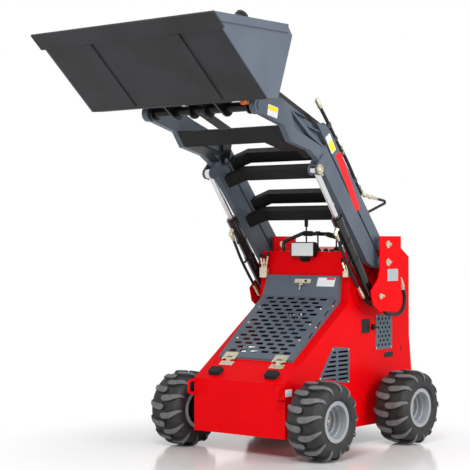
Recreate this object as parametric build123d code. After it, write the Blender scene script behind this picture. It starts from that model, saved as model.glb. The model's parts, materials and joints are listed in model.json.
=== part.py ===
from build123d import *

import os
from math import atan2, cos, degrees, hypot, radians, sin

# Compact stand-on loader with four driven wheels, a raised self-levelling boom and a curled bucket.
# Millimetres. +Z up, the machine looks along -Y, its left side is +X. The drawing frame has its y = 0
# between the axles; CENTRE_SHIFT moves the finished pieces so that the origin lies on the ground below
# the middle of the whole outline.

os.makedirs("parts", exist_ok=True)

# General sheet, fits and gaps
SHEET = 4.0                 # body sheet
RUNNING = 0.05              # radial clearance of a pin in its bore
SEAT = 0.3                  # gap between a curved seat and what lies on it
SIDE_GAP = 8.0              # side clearance between plates that pass each other

# Wheels
TYRE_RADIUS = 228.5
TYRE_WIDTH = 236.0
RIM_SEAT_RADIUS = 101.6
RIM_FLANGE_RADIUS = 119.0
RIM_WIDTH = 208.0
RIM_SHEET = 5.0
RIM_BORE = RIM_SEAT_RADIUS - RIM_SHEET
LUG_HEIGHT = 18.0
LUGS = 13                   # on each side of a tyre, staggered by half a pitch from side to side
# one lug's middle line: place across the tyre, offset round the tyre, half width
LUG_LINE = [(-20.0, -2.0, 17.0), (52.0, 3.0, 16.0), (TYRE_WIDTH / 2 + 1, 30.0, 9.0)]
LUG_START = -14.0
TYRE_GAP = 55.0             # from the body's side to the tyre
FRONT_AXLE_Y = -265.0
WHEELBASE = 898.0
HUB_RADIUS = 42.0
AXLE_RADIUS = 20.0
SHAFT_END = 34.0            # of the drive shaft, outside the wheel's middle
# the wheel's dish seen from outside: radius, place outside the wheel's middle
DISH_STEPS = [(RIM_BORE + 2, 64.0), (88.0, 60.0), (86.0, 34.0), (74.0, 30.0), (72.0, 12.0), (HUB_RADIUS - 2, 12.0)]

# Body
BODY_HALF_WIDTH = 343.0
GROUND_CLEARANCE = 117.0
NOSE_Y = -387.0
NOSE_TOP = 433.0
SLOPE_TOP = (258.0, 882.0)
CONSOLE_TOP_FRONT = (285.0, 1190.0)
CONSOLE_TOP_REAR = (831.0, 1218.0)
REAR_CORNER = (935.0, 1155.0)
REAR_WAIST = (938.0, 650.0)
REAR_FOOT = (986.0, 291.0)

# Hood, a wedge-shaped tray on the slope
HOOD_HALF_WIDTH = 280.0
HOOD_FOOT = (-232.0, 558.0)
HOOD_BEND = (200.0, 914.0)
HOOD_TOP = 1042.0
HOOD_RIM = 18.0             # width of the body's ledge below the hood's edge
HOOD_HINGE = (-240.0, 548.0)
HOOD_ANGLE = 75.0
HINGE_X = 190.0
HINGE_HALF = 50.0           # half length of one hood hinge
HINGE_RADIUS = 7.0
HINGE_PIN_RADIUS = 3.5
HINGE_LEAF = 3.0
SCREEN_START = 38.0         # the hood's perforated field, measured up its slope
SCREEN_END = 555.0
SCREEN_HALF_WIDTH = 262.0
SLOT_ROWS = 15
SLOT_LENGTH = 56.0
SLOT_HEIGHT = 19.0
SLOT_PITCH = 82.0

# Boom: the lift pivot carries it, the upper links stand LINK_RISE above
LIFT_PIVOT = (485.0, 1125.0)
LINK_RISE = 110.0
BEAM_ANGLE = 49.6
LOWER_FRONT = -108.0        # front face of the lower beam, measured across from the pivot
LOWER_REAR = 5.4
BEAM_GAP = 14.0
UPPER_DEPTH = 79.0
ARM_GAP = 39.0              # from the body's side to the arm
ARM_WIDTH = 40.0
HUB_GAP = 6.0               # side clearance of the arms' hubs in the towers
HUB_TUBE_RADIUS = 36.0
PIVOT_PIN_RADIUS = 20.0

# Knee, head and tilt
KNEE = (-560.0, 630.0)      # from the lift pivot
HEAD = (-1205.0, 880.0)     # from the lift pivot: axis of bucket and head frame
LEVEL_ARM = (40.0, 170.0)   # from knee to front link, and from head axis to front link
KNEE_PIN_RADIUS = 16.0
HEAD_SHAFT_RADIUS = 28.0
PLATE = 12.0
TRUNNION = (250.0, 460.0)   # from the head axis
TRUNNION_PIN_RADIUS = 14.0
TILT_EYE = (-12.0, 182.0)   # from the head axis, on the bucket's coupler
TILT_CHEEK_INNER = 50.0     # inner face of the head frame's two cheeks

# Gooseneck, from the lift pivot: lower and upper edge, and the pockets in its outer face
NECK_LOW = [(-1240.0, 848.0), (-984.0, 783.0), (-919.0, 696.0), (-732.0, 655.0)]
NECK_HIGH = [(-829.0, 861.0), (-1011.0, 938.0), (-1150.0, 927.0), (-1232.0, 917.0)]
LOWER_BEAM_END = 900.0
NECK_POCKETS = [[(-906.0, 873.0), (-689.0, 822.0), (-647.0, 774.0), (-787.0, 802.0)],
                [(-780.0, 796.0), (-647.0, 765.0), (-584.0, 721.0), (-584.0, 677.0)],
                [(-920.0, 871.0), (-745.0, 743.0), (-592.0, 672.0), (-878.0, 770.0)]]
POCKET_DEPTH = 26.0

# Cylinders
LIFT_BASE = (405.0, 919.0)
LIFT_EYE = (-657.0, 547.0)  # from the lift pivot
LIFT_BARREL_RADIUS = 32.0
LIFT_BARREL_LENGTH = 590.0
LIFT_ROD_RADIUS = 17.5
LIFT_ROD_LENGTH = 440.0
EYE_RADIUS = 30.0
EYE_WIDTH = 36.0
CYLINDER_PIN_RADIUS = 15.0
TILT_BARREL_RADIUS = 37.5
TILT_BARREL_FRONT = 320.0   # from the trunnion to the gland
TILT_BARREL_BACK = 170.0    # from the trunnion to the cap end
TILT_ROD_RADIUS = 19.0
TILT_ROD_LENGTH = 360.0

# Tower
TOWER_CLEARANCE = 42.0      # from the arm to the tower's outer plate
TOWER_PLATE = 8.0
TOWER_INNER_PLATE = 12.0
TOWER_TOP = 1286.0
TOWER_BOTTOM = 825.0
TOWER_FRONT = 405.0
TOWER_REAR = 640.0

# Side vents and grilles of the body, in y and z
VENT_OUTLINE = [(-65.0, 430.0), (88.0, 622.0), (262.0, 605.0), (257.0, 393.0)]
VENT_SHEET = 3.0
VENT_RIM = 12.0
LOUVRE_HEIGHT = 12.0
LOUVRE_PITCH = 27.0
LOUVRE_COLUMNS = [(-60.0, 118.0), (140.0, 243.0)]
GRILLE_Y = (547.0, 733.0)
GRILLE_Z = (577.0, 795.0)
GRILLE_HOLE = 18.0

# Motion, degrees
LOWERED_ANGLE = 72.0
DUMP_ANGLE = 80.0

# Bucket, y and z of its curled section
BUCKET_HALF_WIDTH = 653.0
EDGE_HALF_WIDTH = 670.0
BUCKET_SHEET = 8.0
BUCKET_STRIP = 45.0         # width of the strip along the sides' upper edge
LIP = (-1410.0, 2417.0)
HEEL = (-945.0, 2012.0)
HEEL_BACK = (-856.0, 2019.0)
BACK_CORNER = (-731.0, 2366.0)
RIM_BACK = (-776.0, 2423.0)
EDGE_WIDTH = 110.0
EDGE_THICKNESS = 12.0

# Crossbars, places along the beams from the lift pivot
LOWER_BAR = 385.0
LOWER_STEP = 325.0
UPPER_BAR = 434.0
UPPER_STEP = 330.0

# Engine and the operator's padded rest
ENGINE_SIDE = 143.0         # from the body's side to the engine
ENGINE_Y = (180.0, 600.0)
ENGINE_BOTTOM = 320.0
ENGINE_HEIGHT = 440.0
PAD_SIDE = 123.0            # from the body's side to the pad's end
PAD_THICKNESS = 55.0

# Controls on the console: x, y, stem, radius and height of the grip
BAR_RADIUS = 12.0
LEVERS = [(-75.0, 390.0, 150.0, 12.0, 46.0), (80.0, 300.0, 100.0, 15.0, 26.0), (140.0, 300.0, 8.0, 12.0, 10.0),
          (185.0, 300.0, 6.0, 9.0, 8.0), (150.0, 400.0, 110.0, 11.0, 44.0)]

# Lamp
LAMP_WIDTH = 180.0
LAMP_HEIGHT = 93.0
LAMP_BOTTOM = 1157.0
LAMP_REACH = 40.0           # from the console's front to the lamp's face
LAMP_GAP = 4.0              # behind the lamp's housing
LAMP_FRAME = 6.0

# Platform
PLATFORM_HINGE = (1002.0, 205.0)
PLATFORM_LENGTH = 185.0
PLATFORM_GAP = 73.0         # from the body's side to the platform's edge
FOLD_ANGLE = 88.0

WHEEL_X = BODY_HALF_WIDTH + TYRE_GAP + TYRE_WIDTH / 2
ARM_INNER = BODY_HALF_WIDTH + ARM_GAP
ARM_OUTER = ARM_INNER + ARM_WIDTH
TOWER_OUTER = ARM_OUTER + TOWER_CLEARANCE
HUB_INNER = BODY_HALF_WIDTH + TOWER_INNER_PLATE + HUB_GAP
HUB_OUTER = TOWER_OUTER - HUB_GAP
PLATFORM_HALF_WIDTH = BODY_HALF_WIDTH - PLATFORM_GAP
ARM_MIDDLE = ARM_INNER + ARM_WIDTH / 2
UPPER_FRONT = LOWER_REAR + BEAM_GAP
UPPER_REAR = UPPER_FRONT + UPPER_DEPTH
LOWER_MIDDLE = (LOWER_FRONT + LOWER_REAR) / 2
UPPER_MIDDLE = (UPPER_FRONT + UPPER_REAR) / 2
ROCKER_INNER = ARM_INNER - PLATE - SIDE_GAP - PLATE
LINK_INNER = ROCKER_INNER - SIDE_GAP - PLATE


def shifted(start, offset):
    """The (y, z) point that lies an offset away from start."""
    return (start[0] + offset[0], start[1] + offset[1])


def turned(point, centre, angle):
    """Turn a (y, z) point about a centre; a positive angle brings the front down."""
    y, z = point[0] - centre[0], point[1] - centre[1]
    c, s = cos(radians(angle)), sin(radians(angle))
    return (centre[0] + y * c - z * s, centre[1] + y * s + z * c)


def distance(start, end):
    return hypot(end[0] - start[0], end[1] - start[1])


def heading(start, end):
    """Direction from start to end in degrees, counted from +Y towards +Z."""
    return degrees(atan2(end[1] - start[1], end[0] - start[0]))


def beam_point(along, across):
    """A (y, z) point measured along and across the beams from the lift pivot."""
    c, s = cos(radians(BEAM_ANGLE)), sin(radians(BEAM_ANGLE))
    return shifted(LIFT_PIVOT, (-c * along + s * across, s * along + c * across))


def flat_face(outline):
    """A face from a closed outline, its corners put in counterclockwise order."""
    area = sum(a[0] * b[1] - b[0] * a[1] for a, b in zip(outline, outline[1:] + outline[:1]))
    return make_face(Polyline(*(outline if area > 0 else outline[::-1]), close=True))


def side_plate(outline, x_from, x_to):
    """Extrude a closed (y, z) outline between two x planes."""
    return extrude(Plane.YZ.offset(x_from) * flat_face(outline), x_to - x_from)


def beside(points, gap):
    """The open line of (y, z) points moved to its left by a gap, with mitred corners."""
    moved = []
    for i, point in enumerate(points):
        into = heading(points[max(i - 1, 0)], points[max(i, 1)])
        turn = heading(points[min(i, len(points) - 2)], points[min(i + 1, len(points) - 1)]) - into
        half = ((turn + 180) % 360 - 180) / 2
        side = radians(into + half + 90)
        reach = gap / cos(radians(half))
        moved.append(shifted(point, (reach * cos(side), reach * sin(side))))
    return moved


def folded_sheet(points, thickness, x_from, x_to):
    """A sheet bent along (y, z) points; a negative thickness lies to the right of their run."""
    return side_plate([*points, *beside(points, thickness)[::-1]], x_from, x_to)


def bar_x(centre, radius, x_from, x_to):
    """A round bar along x through a (y, z) point."""
    return Pos((x_from + x_to) / 2, *centre) * Rot(0, 90, 0) * Cylinder(radius, x_to - x_from)


def bar_between(start, end, x, radius):
    """A round bar from one (y, z) point to another in the plane x."""
    plane = Plane(origin=(x, *start), z_dir=(0, end[0] - start[0], end[1] - start[1]))
    return extrude(plane * Circle(radius), distance(start, end))


def block(x_range, y_range, z_range):
    """A box given by its ranges."""
    size = [high - low for low, high in (x_range, y_range, z_range)]
    middle = [(high + low) / 2 for low, high in (x_range, y_range, z_range)]
    return Pos(*middle) * Box(*size)


def link_plate(eyes, x_from, x_to):
    """A plate wrapped round its eyes; each eye is (point, radius)."""
    rims = [edge for point, radius in eyes for edge in (Pos(*point) * Circle(radius)).edges()]
    return extrude(Plane.YZ.offset(x_from) * make_hull(rims), x_to - x_from, dir=(1, 0, 0))


def both_sides(shape):
    """The shape and its mirror image across the machine's middle."""
    return Compound([*shape.solids(), *mirror(shape, Plane.YZ).solids()])


def along(start, end, length):
    """The point at a length from start towards end."""
    k = length / distance(start, end)
    return (start[0] + (end[0] - start[0]) * k, start[1] + (end[1] - start[1]) * k)


# Places that follow from the sizes
LINK_PIVOT = shifted(LIFT_PIVOT, (0, LINK_RISE))
KNEE_PIN = shifted(LIFT_PIVOT, KNEE)
LINK_TOP = shifted(KNEE_PIN, (0, LINK_RISE))
FRONT_LINK_REAR = shifted(KNEE_PIN, LEVEL_ARM)
HEAD_AXIS = shifted(LIFT_PIVOT, HEAD)
FRONT_LINK_FRONT = shifted(HEAD_AXIS, LEVEL_ARM)
TRUNNION_AXIS = shifted(HEAD_AXIS, TRUNNION)
TILT_ROD_EYE = shifted(HEAD_AXIS, TILT_EYE)
LIFT_ROD_EYE = shifted(LIFT_PIVOT, LIFT_EYE)
EDGE_DOWN = radians(heading(LIP, HEEL) - 90)    # direction out of the bucket's floor
EDGE_OUT = (EDGE_THICKNESS * cos(EDGE_DOWN), EDGE_THICKNESS * sin(EDGE_DOWN))
PLATFORM_REAR = PLATFORM_HINGE[0] + PLATFORM_LENGTH
CENTRE_SHIFT = -(LIP[0] + EDGE_OUT[0] + PLATFORM_REAR) / 2


def body_profile():
    return [(NOSE_Y, GROUND_CLEARANCE), (NOSE_Y, NOSE_TOP), SLOPE_TOP, CONSOLE_TOP_FRONT,
            CONSOLE_TOP_REAR, REAR_CORNER, REAR_WAIST, REAR_FOOT, (REAR_FOOT[0], GROUND_CLEARANCE)]


def slope_point(y):
    """The point of the body's front slope at a given y."""
    k = (y - NOSE_Y) / (SLOPE_TOP[0] - NOSE_Y)
    return (y, NOSE_TOP + k * (SLOPE_TOP[1] - NOSE_TOP))


def console_front(z):
    """The y of the console's steep front at a given height."""
    k = (z - SLOPE_TOP[1]) / (CONSOLE_TOP_FRONT[1] - SLOPE_TOP[1])
    return SLOPE_TOP[0] + k * (CONSOLE_TOP_FRONT[0] - SLOPE_TOP[0])


def tan_of(start, end):
    """Rise over run of a (y, z) line."""
    return (end[1] - start[1]) / (end[0] - start[0])


def deck_above(y, height):
    """The (y, z) point that stands a height square above the body's front slope."""
    return beside([slope_point(y), slope_point(y + 100)], height)[0]


def body_shell():
    """Hollow sheet body, open below the hood."""
    face = flat_face(body_profile())
    inner = offset(face, -SHEET)
    width = 2 * BODY_HALF_WIDTH
    solid = extrude(Plane.YZ.offset(-BODY_HALF_WIDTH) * face, width)
    space = extrude(Plane.YZ.offset(SHEET - BODY_HALF_WIDTH) * inner, width - 2 * SHEET)
    half = HOOD_HALF_WIDTH - HOOD_RIM
    low = slope_point(HOOD_FOOT[0] + HOOD_RIM)
    high = slope_point(SLOPE_TOP[0] - HOOD_RIM)
    lift = (-2 * SHEET, 3 * SHEET)
    hole = side_plate([shifted(low, lift), shifted(high, lift), shifted(high, (0, -4 * SHEET)),
                       shifted(low, (0, -4 * SHEET))], -half, half)
    vent_hole = beside([*VENT_OUTLINE, VENT_OUTLINE[0], VENT_OUTLINE[1]], -VENT_RIM)[1:5]
    grille_hole = block((-width, width), (GRILLE_Y[0] + VENT_RIM, GRILLE_Y[1] - VENT_RIM),
                        (GRILLE_Z[0] + VENT_RIM, GRILLE_Z[1] - VENT_RIM))
    sides = side_plate(vent_hole, -width, width) + grille_hole
    keep = extrude(Plane.YZ.offset(SHEET - BODY_HALF_WIDTH) * face, width - 2 * SHEET)
    return solid - space - hole - (sides - keep)


def hood_plane():
    """Plane on the hood's long lower sheet with its y up the slope, counted from the foot."""
    up = (HOOD_BEND[0] - HOOD_FOOT[0], HOOD_BEND[1] - HOOD_FOOT[1])
    return Plane(origin=(0, *HOOD_FOOT), x_dir=(1, 0, 0), z_dir=(0, -up[1], up[0]))


def hood_panel():
    """Wedge-shaped tray: a long lower sheet with a window, a steep upper one and two slotted side flanges."""
    rest, cap = 0.6, 18.0
    head_back = console_front(HOOD_TOP) - rest
    low = shifted(slope_point(HOOD_FOOT[0] + 4), (0, rest))
    high = shifted(SLOPE_TOP, (-rest, rest))
    rim = [low, HOOD_FOOT, HOOD_BEND, (head_back - cap, HOOD_TOP), (head_back, HOOD_TOP)]
    skin = folded_sheet(rim, -SHEET, -HOOD_HALF_WIDTH, HOOD_HALF_WIDTH)
    flange = side_plate([*rim, high], HOOD_HALF_WIDTH - SHEET, HOOD_HALF_WIDTH)
    deck = side_plate([low, high, shifted(high, (0, -9 * SHEET)), shifted(low, (0, -9 * SHEET))],
                      -HOOD_HALF_WIDTH - 1, HOOD_HALF_WIDTH + 1)
    middle = (SCREEN_START + SCREEN_END) / 2
    window = Pos(0, middle) * Rectangle(2 * SCREEN_HALF_WIDTH, SCREEN_END - SCREEN_START)
    shape = skin + flange + mirror(flange, Plane.YZ) - deck - extrude(hood_plane() * window, SHEET + 1, both=True)
    for y in (-50.0, 30.0, 110.0, 185.0):
        rise = HOOD_FOOT[1] + (y - HOOD_FOOT[0]) * tan_of(HOOD_FOOT, HOOD_BEND)
        centre = (y, (2 * rise + slope_point(y)[1]) / 3)
        slot = Pos(*centre) * Rot(0, 0, heading(HOOD_FOOT, HOOD_BEND)) * SlotOverall(SLOT_LENGTH, 11)
        shape -= extrude(Plane.YZ.offset(-HOOD_HALF_WIDTH - 1) * slot, 2 * HOOD_HALF_WIDTH + 2)
    return shape


def hood_screen():
    """Perforated field of the hood, staggered rows of slots."""
    length = SCREEN_END - SCREEN_START
    rise = (length - 38) / (SLOT_ROWS - 1)
    slots = [Pos((k - (5 - row % 2) / 2) * SLOT_PITCH, (row - (SLOT_ROWS - 1) / 2) * rise)
             * SlotOverall(SLOT_LENGTH, SLOT_HEIGHT)
             for row in range(SLOT_ROWS) for k in range(6 - row % 2)]
    sheet = Rectangle(2 * SCREEN_HALF_WIDTH, length) - slots
    return extrude(hood_plane() * (Pos(0, (SCREEN_START + SCREEN_END) / 2) * sheet), -SHEET)


def hinge_knuckle(x_from, x_to):
    return bar_x(HOOD_HINGE, HINGE_RADIUS, x_from, x_to)


def hood_hinge_leaf():
    """Moving leaf of the hood's left hinge with its two outer knuckles."""
    middle = HINGE_HALF / 3 + 1
    plane = hood_plane()
    shape = extrude(plane * (Pos(HINGE_X, 18) * Rectangle(2 * HINGE_HALF, 36)), HINGE_LEAF)
    for x_from, x_to in ((HINGE_X - HINGE_HALF, HINGE_X - middle), (HINGE_X + middle, HINGE_X + HINGE_HALF)):
        strip = Pos((x_from + x_to) / 2, -4) * Rectangle(x_to - x_from, 16)
        shape += extrude(plane * strip, HINGE_LEAF) + hinge_knuckle(x_from, x_to)
    return shape - bar_x(HOOD_HINGE, HINGE_PIN_RADIUS + RUNNING, 0, HINGE_X + HINGE_HALF + 1)


def hood_hinge_base():
    """Fixed leaf of the hood's left hinge on the deck, with its middle knuckle and pin."""
    middle = HINGE_HALF / 3
    near, far, foot = [deck_above(y, HINGE_LEAF / 2) for y in (-248.0, -278.0, -252.0)]
    half = HINGE_LEAF / 2
    leaf = link_plate([(near, half), (far, half)], HINGE_X - HINGE_HALF, HINGE_X + HINGE_HALF)
    knuckle = link_plate([(HOOD_HINGE, HINGE_RADIUS), (foot, half)], HINGE_X - middle, HINGE_X + middle)
    return leaf + knuckle + bar_x(HOOD_HINGE, HINGE_PIN_RADIUS, HINGE_X - HINGE_HALF, HINGE_X + HINGE_HALF)


def tower_outline():
    return [(TOWER_FRONT, TOWER_TOP), (TOWER_REAR, TOWER_TOP), (TOWER_REAR, TOWER_BOTTOM + 40),
            (TOWER_REAR - 40, TOWER_BOTTOM), (TOWER_FRONT - 10, TOWER_BOTTOM),
            (LIFT_BASE[0] - 75, LIFT_BASE[1] - 50), (LIFT_BASE[0] - 98, LIFT_BASE[1] + 34),
            (TOWER_FRONT - 20, LIFT_BASE[1] + 105), (TOWER_FRONT, LIFT_BASE[1] + 160)]


def tower():
    """Two cheek plates and a rear plate that hold the pivots of the left side."""
    outer = side_plate(tower_outline(), TOWER_OUTER, TOWER_OUTER + TOWER_PLATE)
    inner = side_plate(tower_outline(), BODY_HALF_WIDTH, BODY_HALF_WIDTH + TOWER_INNER_PLATE)
    back = block((BODY_HALF_WIDTH, TOWER_OUTER + TOWER_PLATE), (TOWER_REAR - TOWER_PLATE, TOWER_REAR),
                 (TOWER_BOTTOM + 40, TOWER_TOP))
    shape = outer + inner + back
    for centre, radius in ((LIFT_PIVOT, PIVOT_PIN_RADIUS), (LINK_PIVOT, PIVOT_PIN_RADIUS),
                           (LIFT_BASE, CYLINDER_PIN_RADIUS)):
        shape -= bar_x(centre, radius, BODY_HALF_WIDTH - 1, TOWER_OUTER + 2 * TOWER_PLATE)
    return shape


def tower_pins():
    """Three pins with a retaining flag outside the tower."""
    pins = []
    for centre, radius in ((LIFT_PIVOT, PIVOT_PIN_RADIUS), (LINK_PIVOT, PIVOT_PIN_RADIUS),
                           (LIFT_BASE, CYLINDER_PIN_RADIUS)):
        shaft = bar_x(centre, radius, BODY_HALF_WIDTH, TOWER_OUTER + TOWER_PLATE)
        head = bar_x(centre, radius + 3, TOWER_OUTER + TOWER_PLATE, TOWER_OUTER + 2 * TOWER_PLATE)
        flag = link_plate([(centre, 12), (shifted(centre, (34, 0)), 9)],
                          TOWER_OUTER + TOWER_PLATE, TOWER_OUTER + 1.5 * TOWER_PLATE)
        pins.append(shaft + head + flag)
    return Compound([solid for pin in pins for solid in both_sides(pin).solids()])


def boom_arm():
    """Lower beam and gooseneck of the left side, with its hub, knee pin and rod lugs."""
    lower = [shifted(LIFT_PIVOT, offset) for offset in NECK_LOW]
    upper = [shifted(LIFT_PIVOT, offset) for offset in NECK_HIGH]
    outline = lower + [beam_point(LOWER_BEAM_END, LOWER_FRONT), beam_point(90, LOWER_FRONT),
                       beam_point(16, -71), beam_point(-30, -28), beam_point(-30, LOWER_REAR),
                       beam_point(1066, LOWER_REAR)] + upper
    shape = side_plate(outline, ARM_INNER, ARM_OUTER)
    for pocket in NECK_POCKETS:
        shape -= side_plate([shifted(LIFT_PIVOT, offset) for offset in pocket], ARM_OUTER - POCKET_DEPTH, ARM_OUTER + 1)
    shape += bar_x(HEAD_AXIS, HEAD_SHAFT_RADIUS + 20, ARM_INNER, ARM_OUTER)
    shape += bar_x(LIFT_PIVOT, HUB_TUBE_RADIUS, HUB_INNER, HUB_OUTER)
    shape += bar_x(KNEE_PIN, KNEE_PIN_RADIUS, ROCKER_INNER - 3, ARM_INNER)
    lug_seat = beam_point(860, LOWER_FRONT + 40)
    for x_from, x_to in ((ARM_INNER - PLATE, ARM_INNER), (ARM_OUTER, ARM_OUTER + PLATE)):
        shape += link_plate([(LIFT_ROD_EYE, EYE_RADIUS + 4), (lug_seat, 26)], x_from, x_to)
    shape -= bar_x(LIFT_PIVOT, PIVOT_PIN_RADIUS + RUNNING, HUB_INNER - 1, HUB_OUTER + 1)
    shape -= bar_x(HEAD_AXIS, HEAD_SHAFT_RADIUS + RUNNING, ARM_INNER - 1, ARM_OUTER + 1)
    return shape


def cross_plate():
    """Bent plate that ties the two goosenecks together."""
    thickness = 10.0
    a, b, c = [shifted(LIFT_PIVOT, offset) for offset in NECK_LOW[1:]]
    d = beam_point(LOWER_BEAM_END, LOWER_FRONT)
    main = side_plate([a, b, shifted(b, (thickness, thickness)), shifted(a, (thickness, thickness / 2))],
                      -ARM_INNER, ARM_INNER)
    wing = side_plate([b, c, shifted(c, (0, thickness)), shifted(b, (0, thickness))],
                      ARM_INNER - 150, ARM_INNER)
    heel = side_plate([c, d, shifted(d, (thickness, thickness)), shifted(c, (0, thickness))],
                      ARM_INNER - 60, ARM_INNER)
    return main + both_sides(wing + heel)


def crossbar(place, across):
    """Rectangular bar whose middle stands off to the rear, with slanted ends."""
    height, depth, rise = 80.0, 45.0, 70.0
    half = ARM_INNER
    near, far = across - depth / 2, across + depth / 2
    corner = half - rise - 12
    outline = [(half, near), (half, far), (corner, far + rise), (-corner, far + rise), (-half, far),
               (-half, near), (depth / 2 - corner - 12, near + rise), (corner + 12 - depth / 2, near + rise)]
    centre = beam_point(place - height / 2, 0)
    direction = beam_point(place + 1, 0)
    base = beam_point(place, 0)
    upward = (0, direction[0] - base[0], direction[1] - base[1])
    plane = Plane(origin=(0, *centre), x_dir=(1, 0, 0), z_dir=upward)
    sign = 1 if plane.y_dir.Z > 0 else -1
    face = make_face(Polyline(*[(x, sign * n) for x, n in outline], close=True))
    return extrude(plane * face, height)


def upper_arm():
    """Rear beam of the left side, the upper member of the levelling linkage."""
    rise = LINK_RISE * sin(radians(BEAM_ANGLE))
    outline = [beam_point(rise - 30, UPPER_FRONT + 12), beam_point(rise, UPPER_FRONT),
               beam_point(1060, UPPER_FRONT), beam_point(990, UPPER_REAR - 14),
               beam_point(935, UPPER_REAR), beam_point(rise, UPPER_REAR), beam_point(rise - 34, UPPER_REAR - 20)]
    shape = side_plate(outline, ARM_INNER, ARM_OUTER)
    shape += bar_x(LINK_PIVOT, HUB_TUBE_RADIUS - 2, HUB_INNER, HUB_OUTER)
    shape += bar_x(LINK_TOP, KNEE_PIN_RADIUS, ROCKER_INNER - 3, ARM_INNER)
    shape -= bar_x(LINK_PIVOT, PIVOT_PIN_RADIUS + RUNNING, HUB_INNER - 1, HUB_OUTER + 1)
    return shape


def rocker():
    """Three-eyed plate that turns the upper link's push into the front link's."""
    eyes = [(KNEE_PIN, EYE_RADIUS), (LINK_TOP, EYE_RADIUS), (FRONT_LINK_REAR, EYE_RADIUS)]
    shape = link_plate(eyes, ROCKER_INNER, ROCKER_INNER + PLATE)
    for centre in (KNEE_PIN, LINK_TOP):
        shape -= bar_x(centre, KNEE_PIN_RADIUS + RUNNING, ROCKER_INNER - 1, ARM_INNER)
    return shape + bar_x(FRONT_LINK_REAR, KNEE_PIN_RADIUS, LINK_INNER - 3, ROCKER_INNER)


def front_link():
    """Flat bar from the rocker to the head frame."""
    eyes = [(FRONT_LINK_REAR, EYE_RADIUS - 4), (FRONT_LINK_FRONT, EYE_RADIUS - 4)]
    shape = link_plate(eyes, LINK_INNER, LINK_INNER + PLATE)
    for centre in (FRONT_LINK_REAR, FRONT_LINK_FRONT):
        shape -= bar_x(centre, KNEE_PIN_RADIUS + RUNNING, LINK_INNER - 1, LINK_INNER + PLATE + 1)
    return shape


def head_frame():
    """Shaft through the boom's heads, two cheeks for the tilt cylinder and two link lugs."""
    cheek = link_plate([(HEAD_AXIS, 50), (TRUNNION_AXIS, 34)], TILT_CHEEK_INNER, TILT_CHEEK_INNER + PLATE)
    cheek -= bar_x(TRUNNION_AXIS, TRUNNION_PIN_RADIUS + RUNNING, TILT_CHEEK_INNER - 1,
                   TILT_CHEEK_INNER + PLATE + 1)
    lug = link_plate([(HEAD_AXIS, 44), (FRONT_LINK_FRONT, EYE_RADIUS)], ROCKER_INNER, ROCKER_INNER + PLATE)
    lug += bar_x(FRONT_LINK_FRONT, KNEE_PIN_RADIUS, LINK_INNER - 3, ROCKER_INNER)
    shaft = bar_x(HEAD_AXIS, HEAD_SHAFT_RADIUS, -ARM_OUTER - 6, ARM_OUTER + 6)
    return shaft + cheek + mirror(cheek, Plane.YZ) + lug + mirror(lug, Plane.YZ)


def lift_closed_length():
    return distance(LIFT_BASE, turned(LIFT_ROD_EYE, LIFT_PIVOT, LOWERED_ANGLE))


def lift_barrel():
    eye, base, x = LIFT_ROD_EYE, LIFT_BASE, ARM_MIDDLE
    shape = bar_between(along(base, eye, EYE_RADIUS - 4), along(base, eye, LIFT_BARREL_LENGTH), x,
                        LIFT_BARREL_RADIUS)
    shape += bar_between(along(base, eye, LIFT_BARREL_LENGTH - 36), along(base, eye, LIFT_BARREL_LENGTH + 6),
                         x, LIFT_BARREL_RADIUS + 3)
    shape += bar_between(along(base, eye, LIFT_BARREL_LENGTH + 6), along(base, eye, LIFT_BARREL_LENGTH + 20),
                         x, LIFT_ROD_RADIUS + 8)
    shape += bar_x(base, EYE_RADIUS + 2, x - EYE_WIDTH / 2, x + EYE_WIDTH / 2)
    bore_start = lift_closed_length() - LIFT_ROD_LENGTH - 12
    shape -= bar_between(along(base, eye, bore_start), along(base, eye, LIFT_BARREL_LENGTH + 22), x,
                         LIFT_ROD_RADIUS + RUNNING)
    shape -= bar_x(base, CYLINDER_PIN_RADIUS + RUNNING, x - EYE_WIDTH, x + EYE_WIDTH)
    return shape


def lift_rod():
    eye, base, x = LIFT_ROD_EYE, LIFT_BASE, ARM_MIDDLE
    shape = bar_between(along(eye, base, LIFT_ROD_LENGTH), along(eye, base, EYE_RADIUS - 6), x,
                        LIFT_ROD_RADIUS)
    shape += bar_x(eye, EYE_RADIUS, x - EYE_WIDTH / 2, x + EYE_WIDTH / 2)
    return shape - bar_x(eye, CYLINDER_PIN_RADIUS + 1, x - EYE_WIDTH, x + EYE_WIDTH)


def tilt_barrel():
    eye, base = TILT_ROD_EYE, TRUNNION_AXIS
    shape = bar_between(along(base, eye, -TILT_BARREL_BACK), along(base, eye, TILT_BARREL_FRONT), 0,
                        TILT_BARREL_RADIUS)
    shape += bar_between(along(base, eye, TILT_BARREL_FRONT - 40), along(base, eye, TILT_BARREL_FRONT), 0,
                         TILT_BARREL_RADIUS + 4)
    shape += bar_between(along(base, eye, -TILT_BARREL_BACK), along(base, eye, 20 - TILT_BARREL_BACK), 0,
                         TILT_BARREL_RADIUS + 4)
    shape += bar_x(base, 26, 2 - TILT_CHEEK_INNER, TILT_CHEEK_INNER - 2)
    shape += bar_x(base, TRUNNION_PIN_RADIUS, -TILT_CHEEK_INNER - PLATE, TILT_CHEEK_INNER + PLATE)
    bore_start = distance(base, eye) - TILT_ROD_LENGTH - 12
    return shape - bar_between(along(base, eye, bore_start), along(base, eye, TILT_BARREL_FRONT + 1), 0,
                               TILT_ROD_RADIUS + RUNNING)


def tilt_rod():
    eye, base = TILT_ROD_EYE, TRUNNION_AXIS
    shape = bar_between(along(eye, base, TILT_ROD_LENGTH), along(eye, base, EYE_RADIUS - 6), 0,
                        TILT_ROD_RADIUS)
    shape += bar_x(eye, EYE_RADIUS, -EYE_WIDTH / 2, EYE_WIDTH / 2)
    return shape - bar_x(eye, CYLINDER_PIN_RADIUS + 1, -EYE_WIDTH, EYE_WIDTH)


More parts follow.
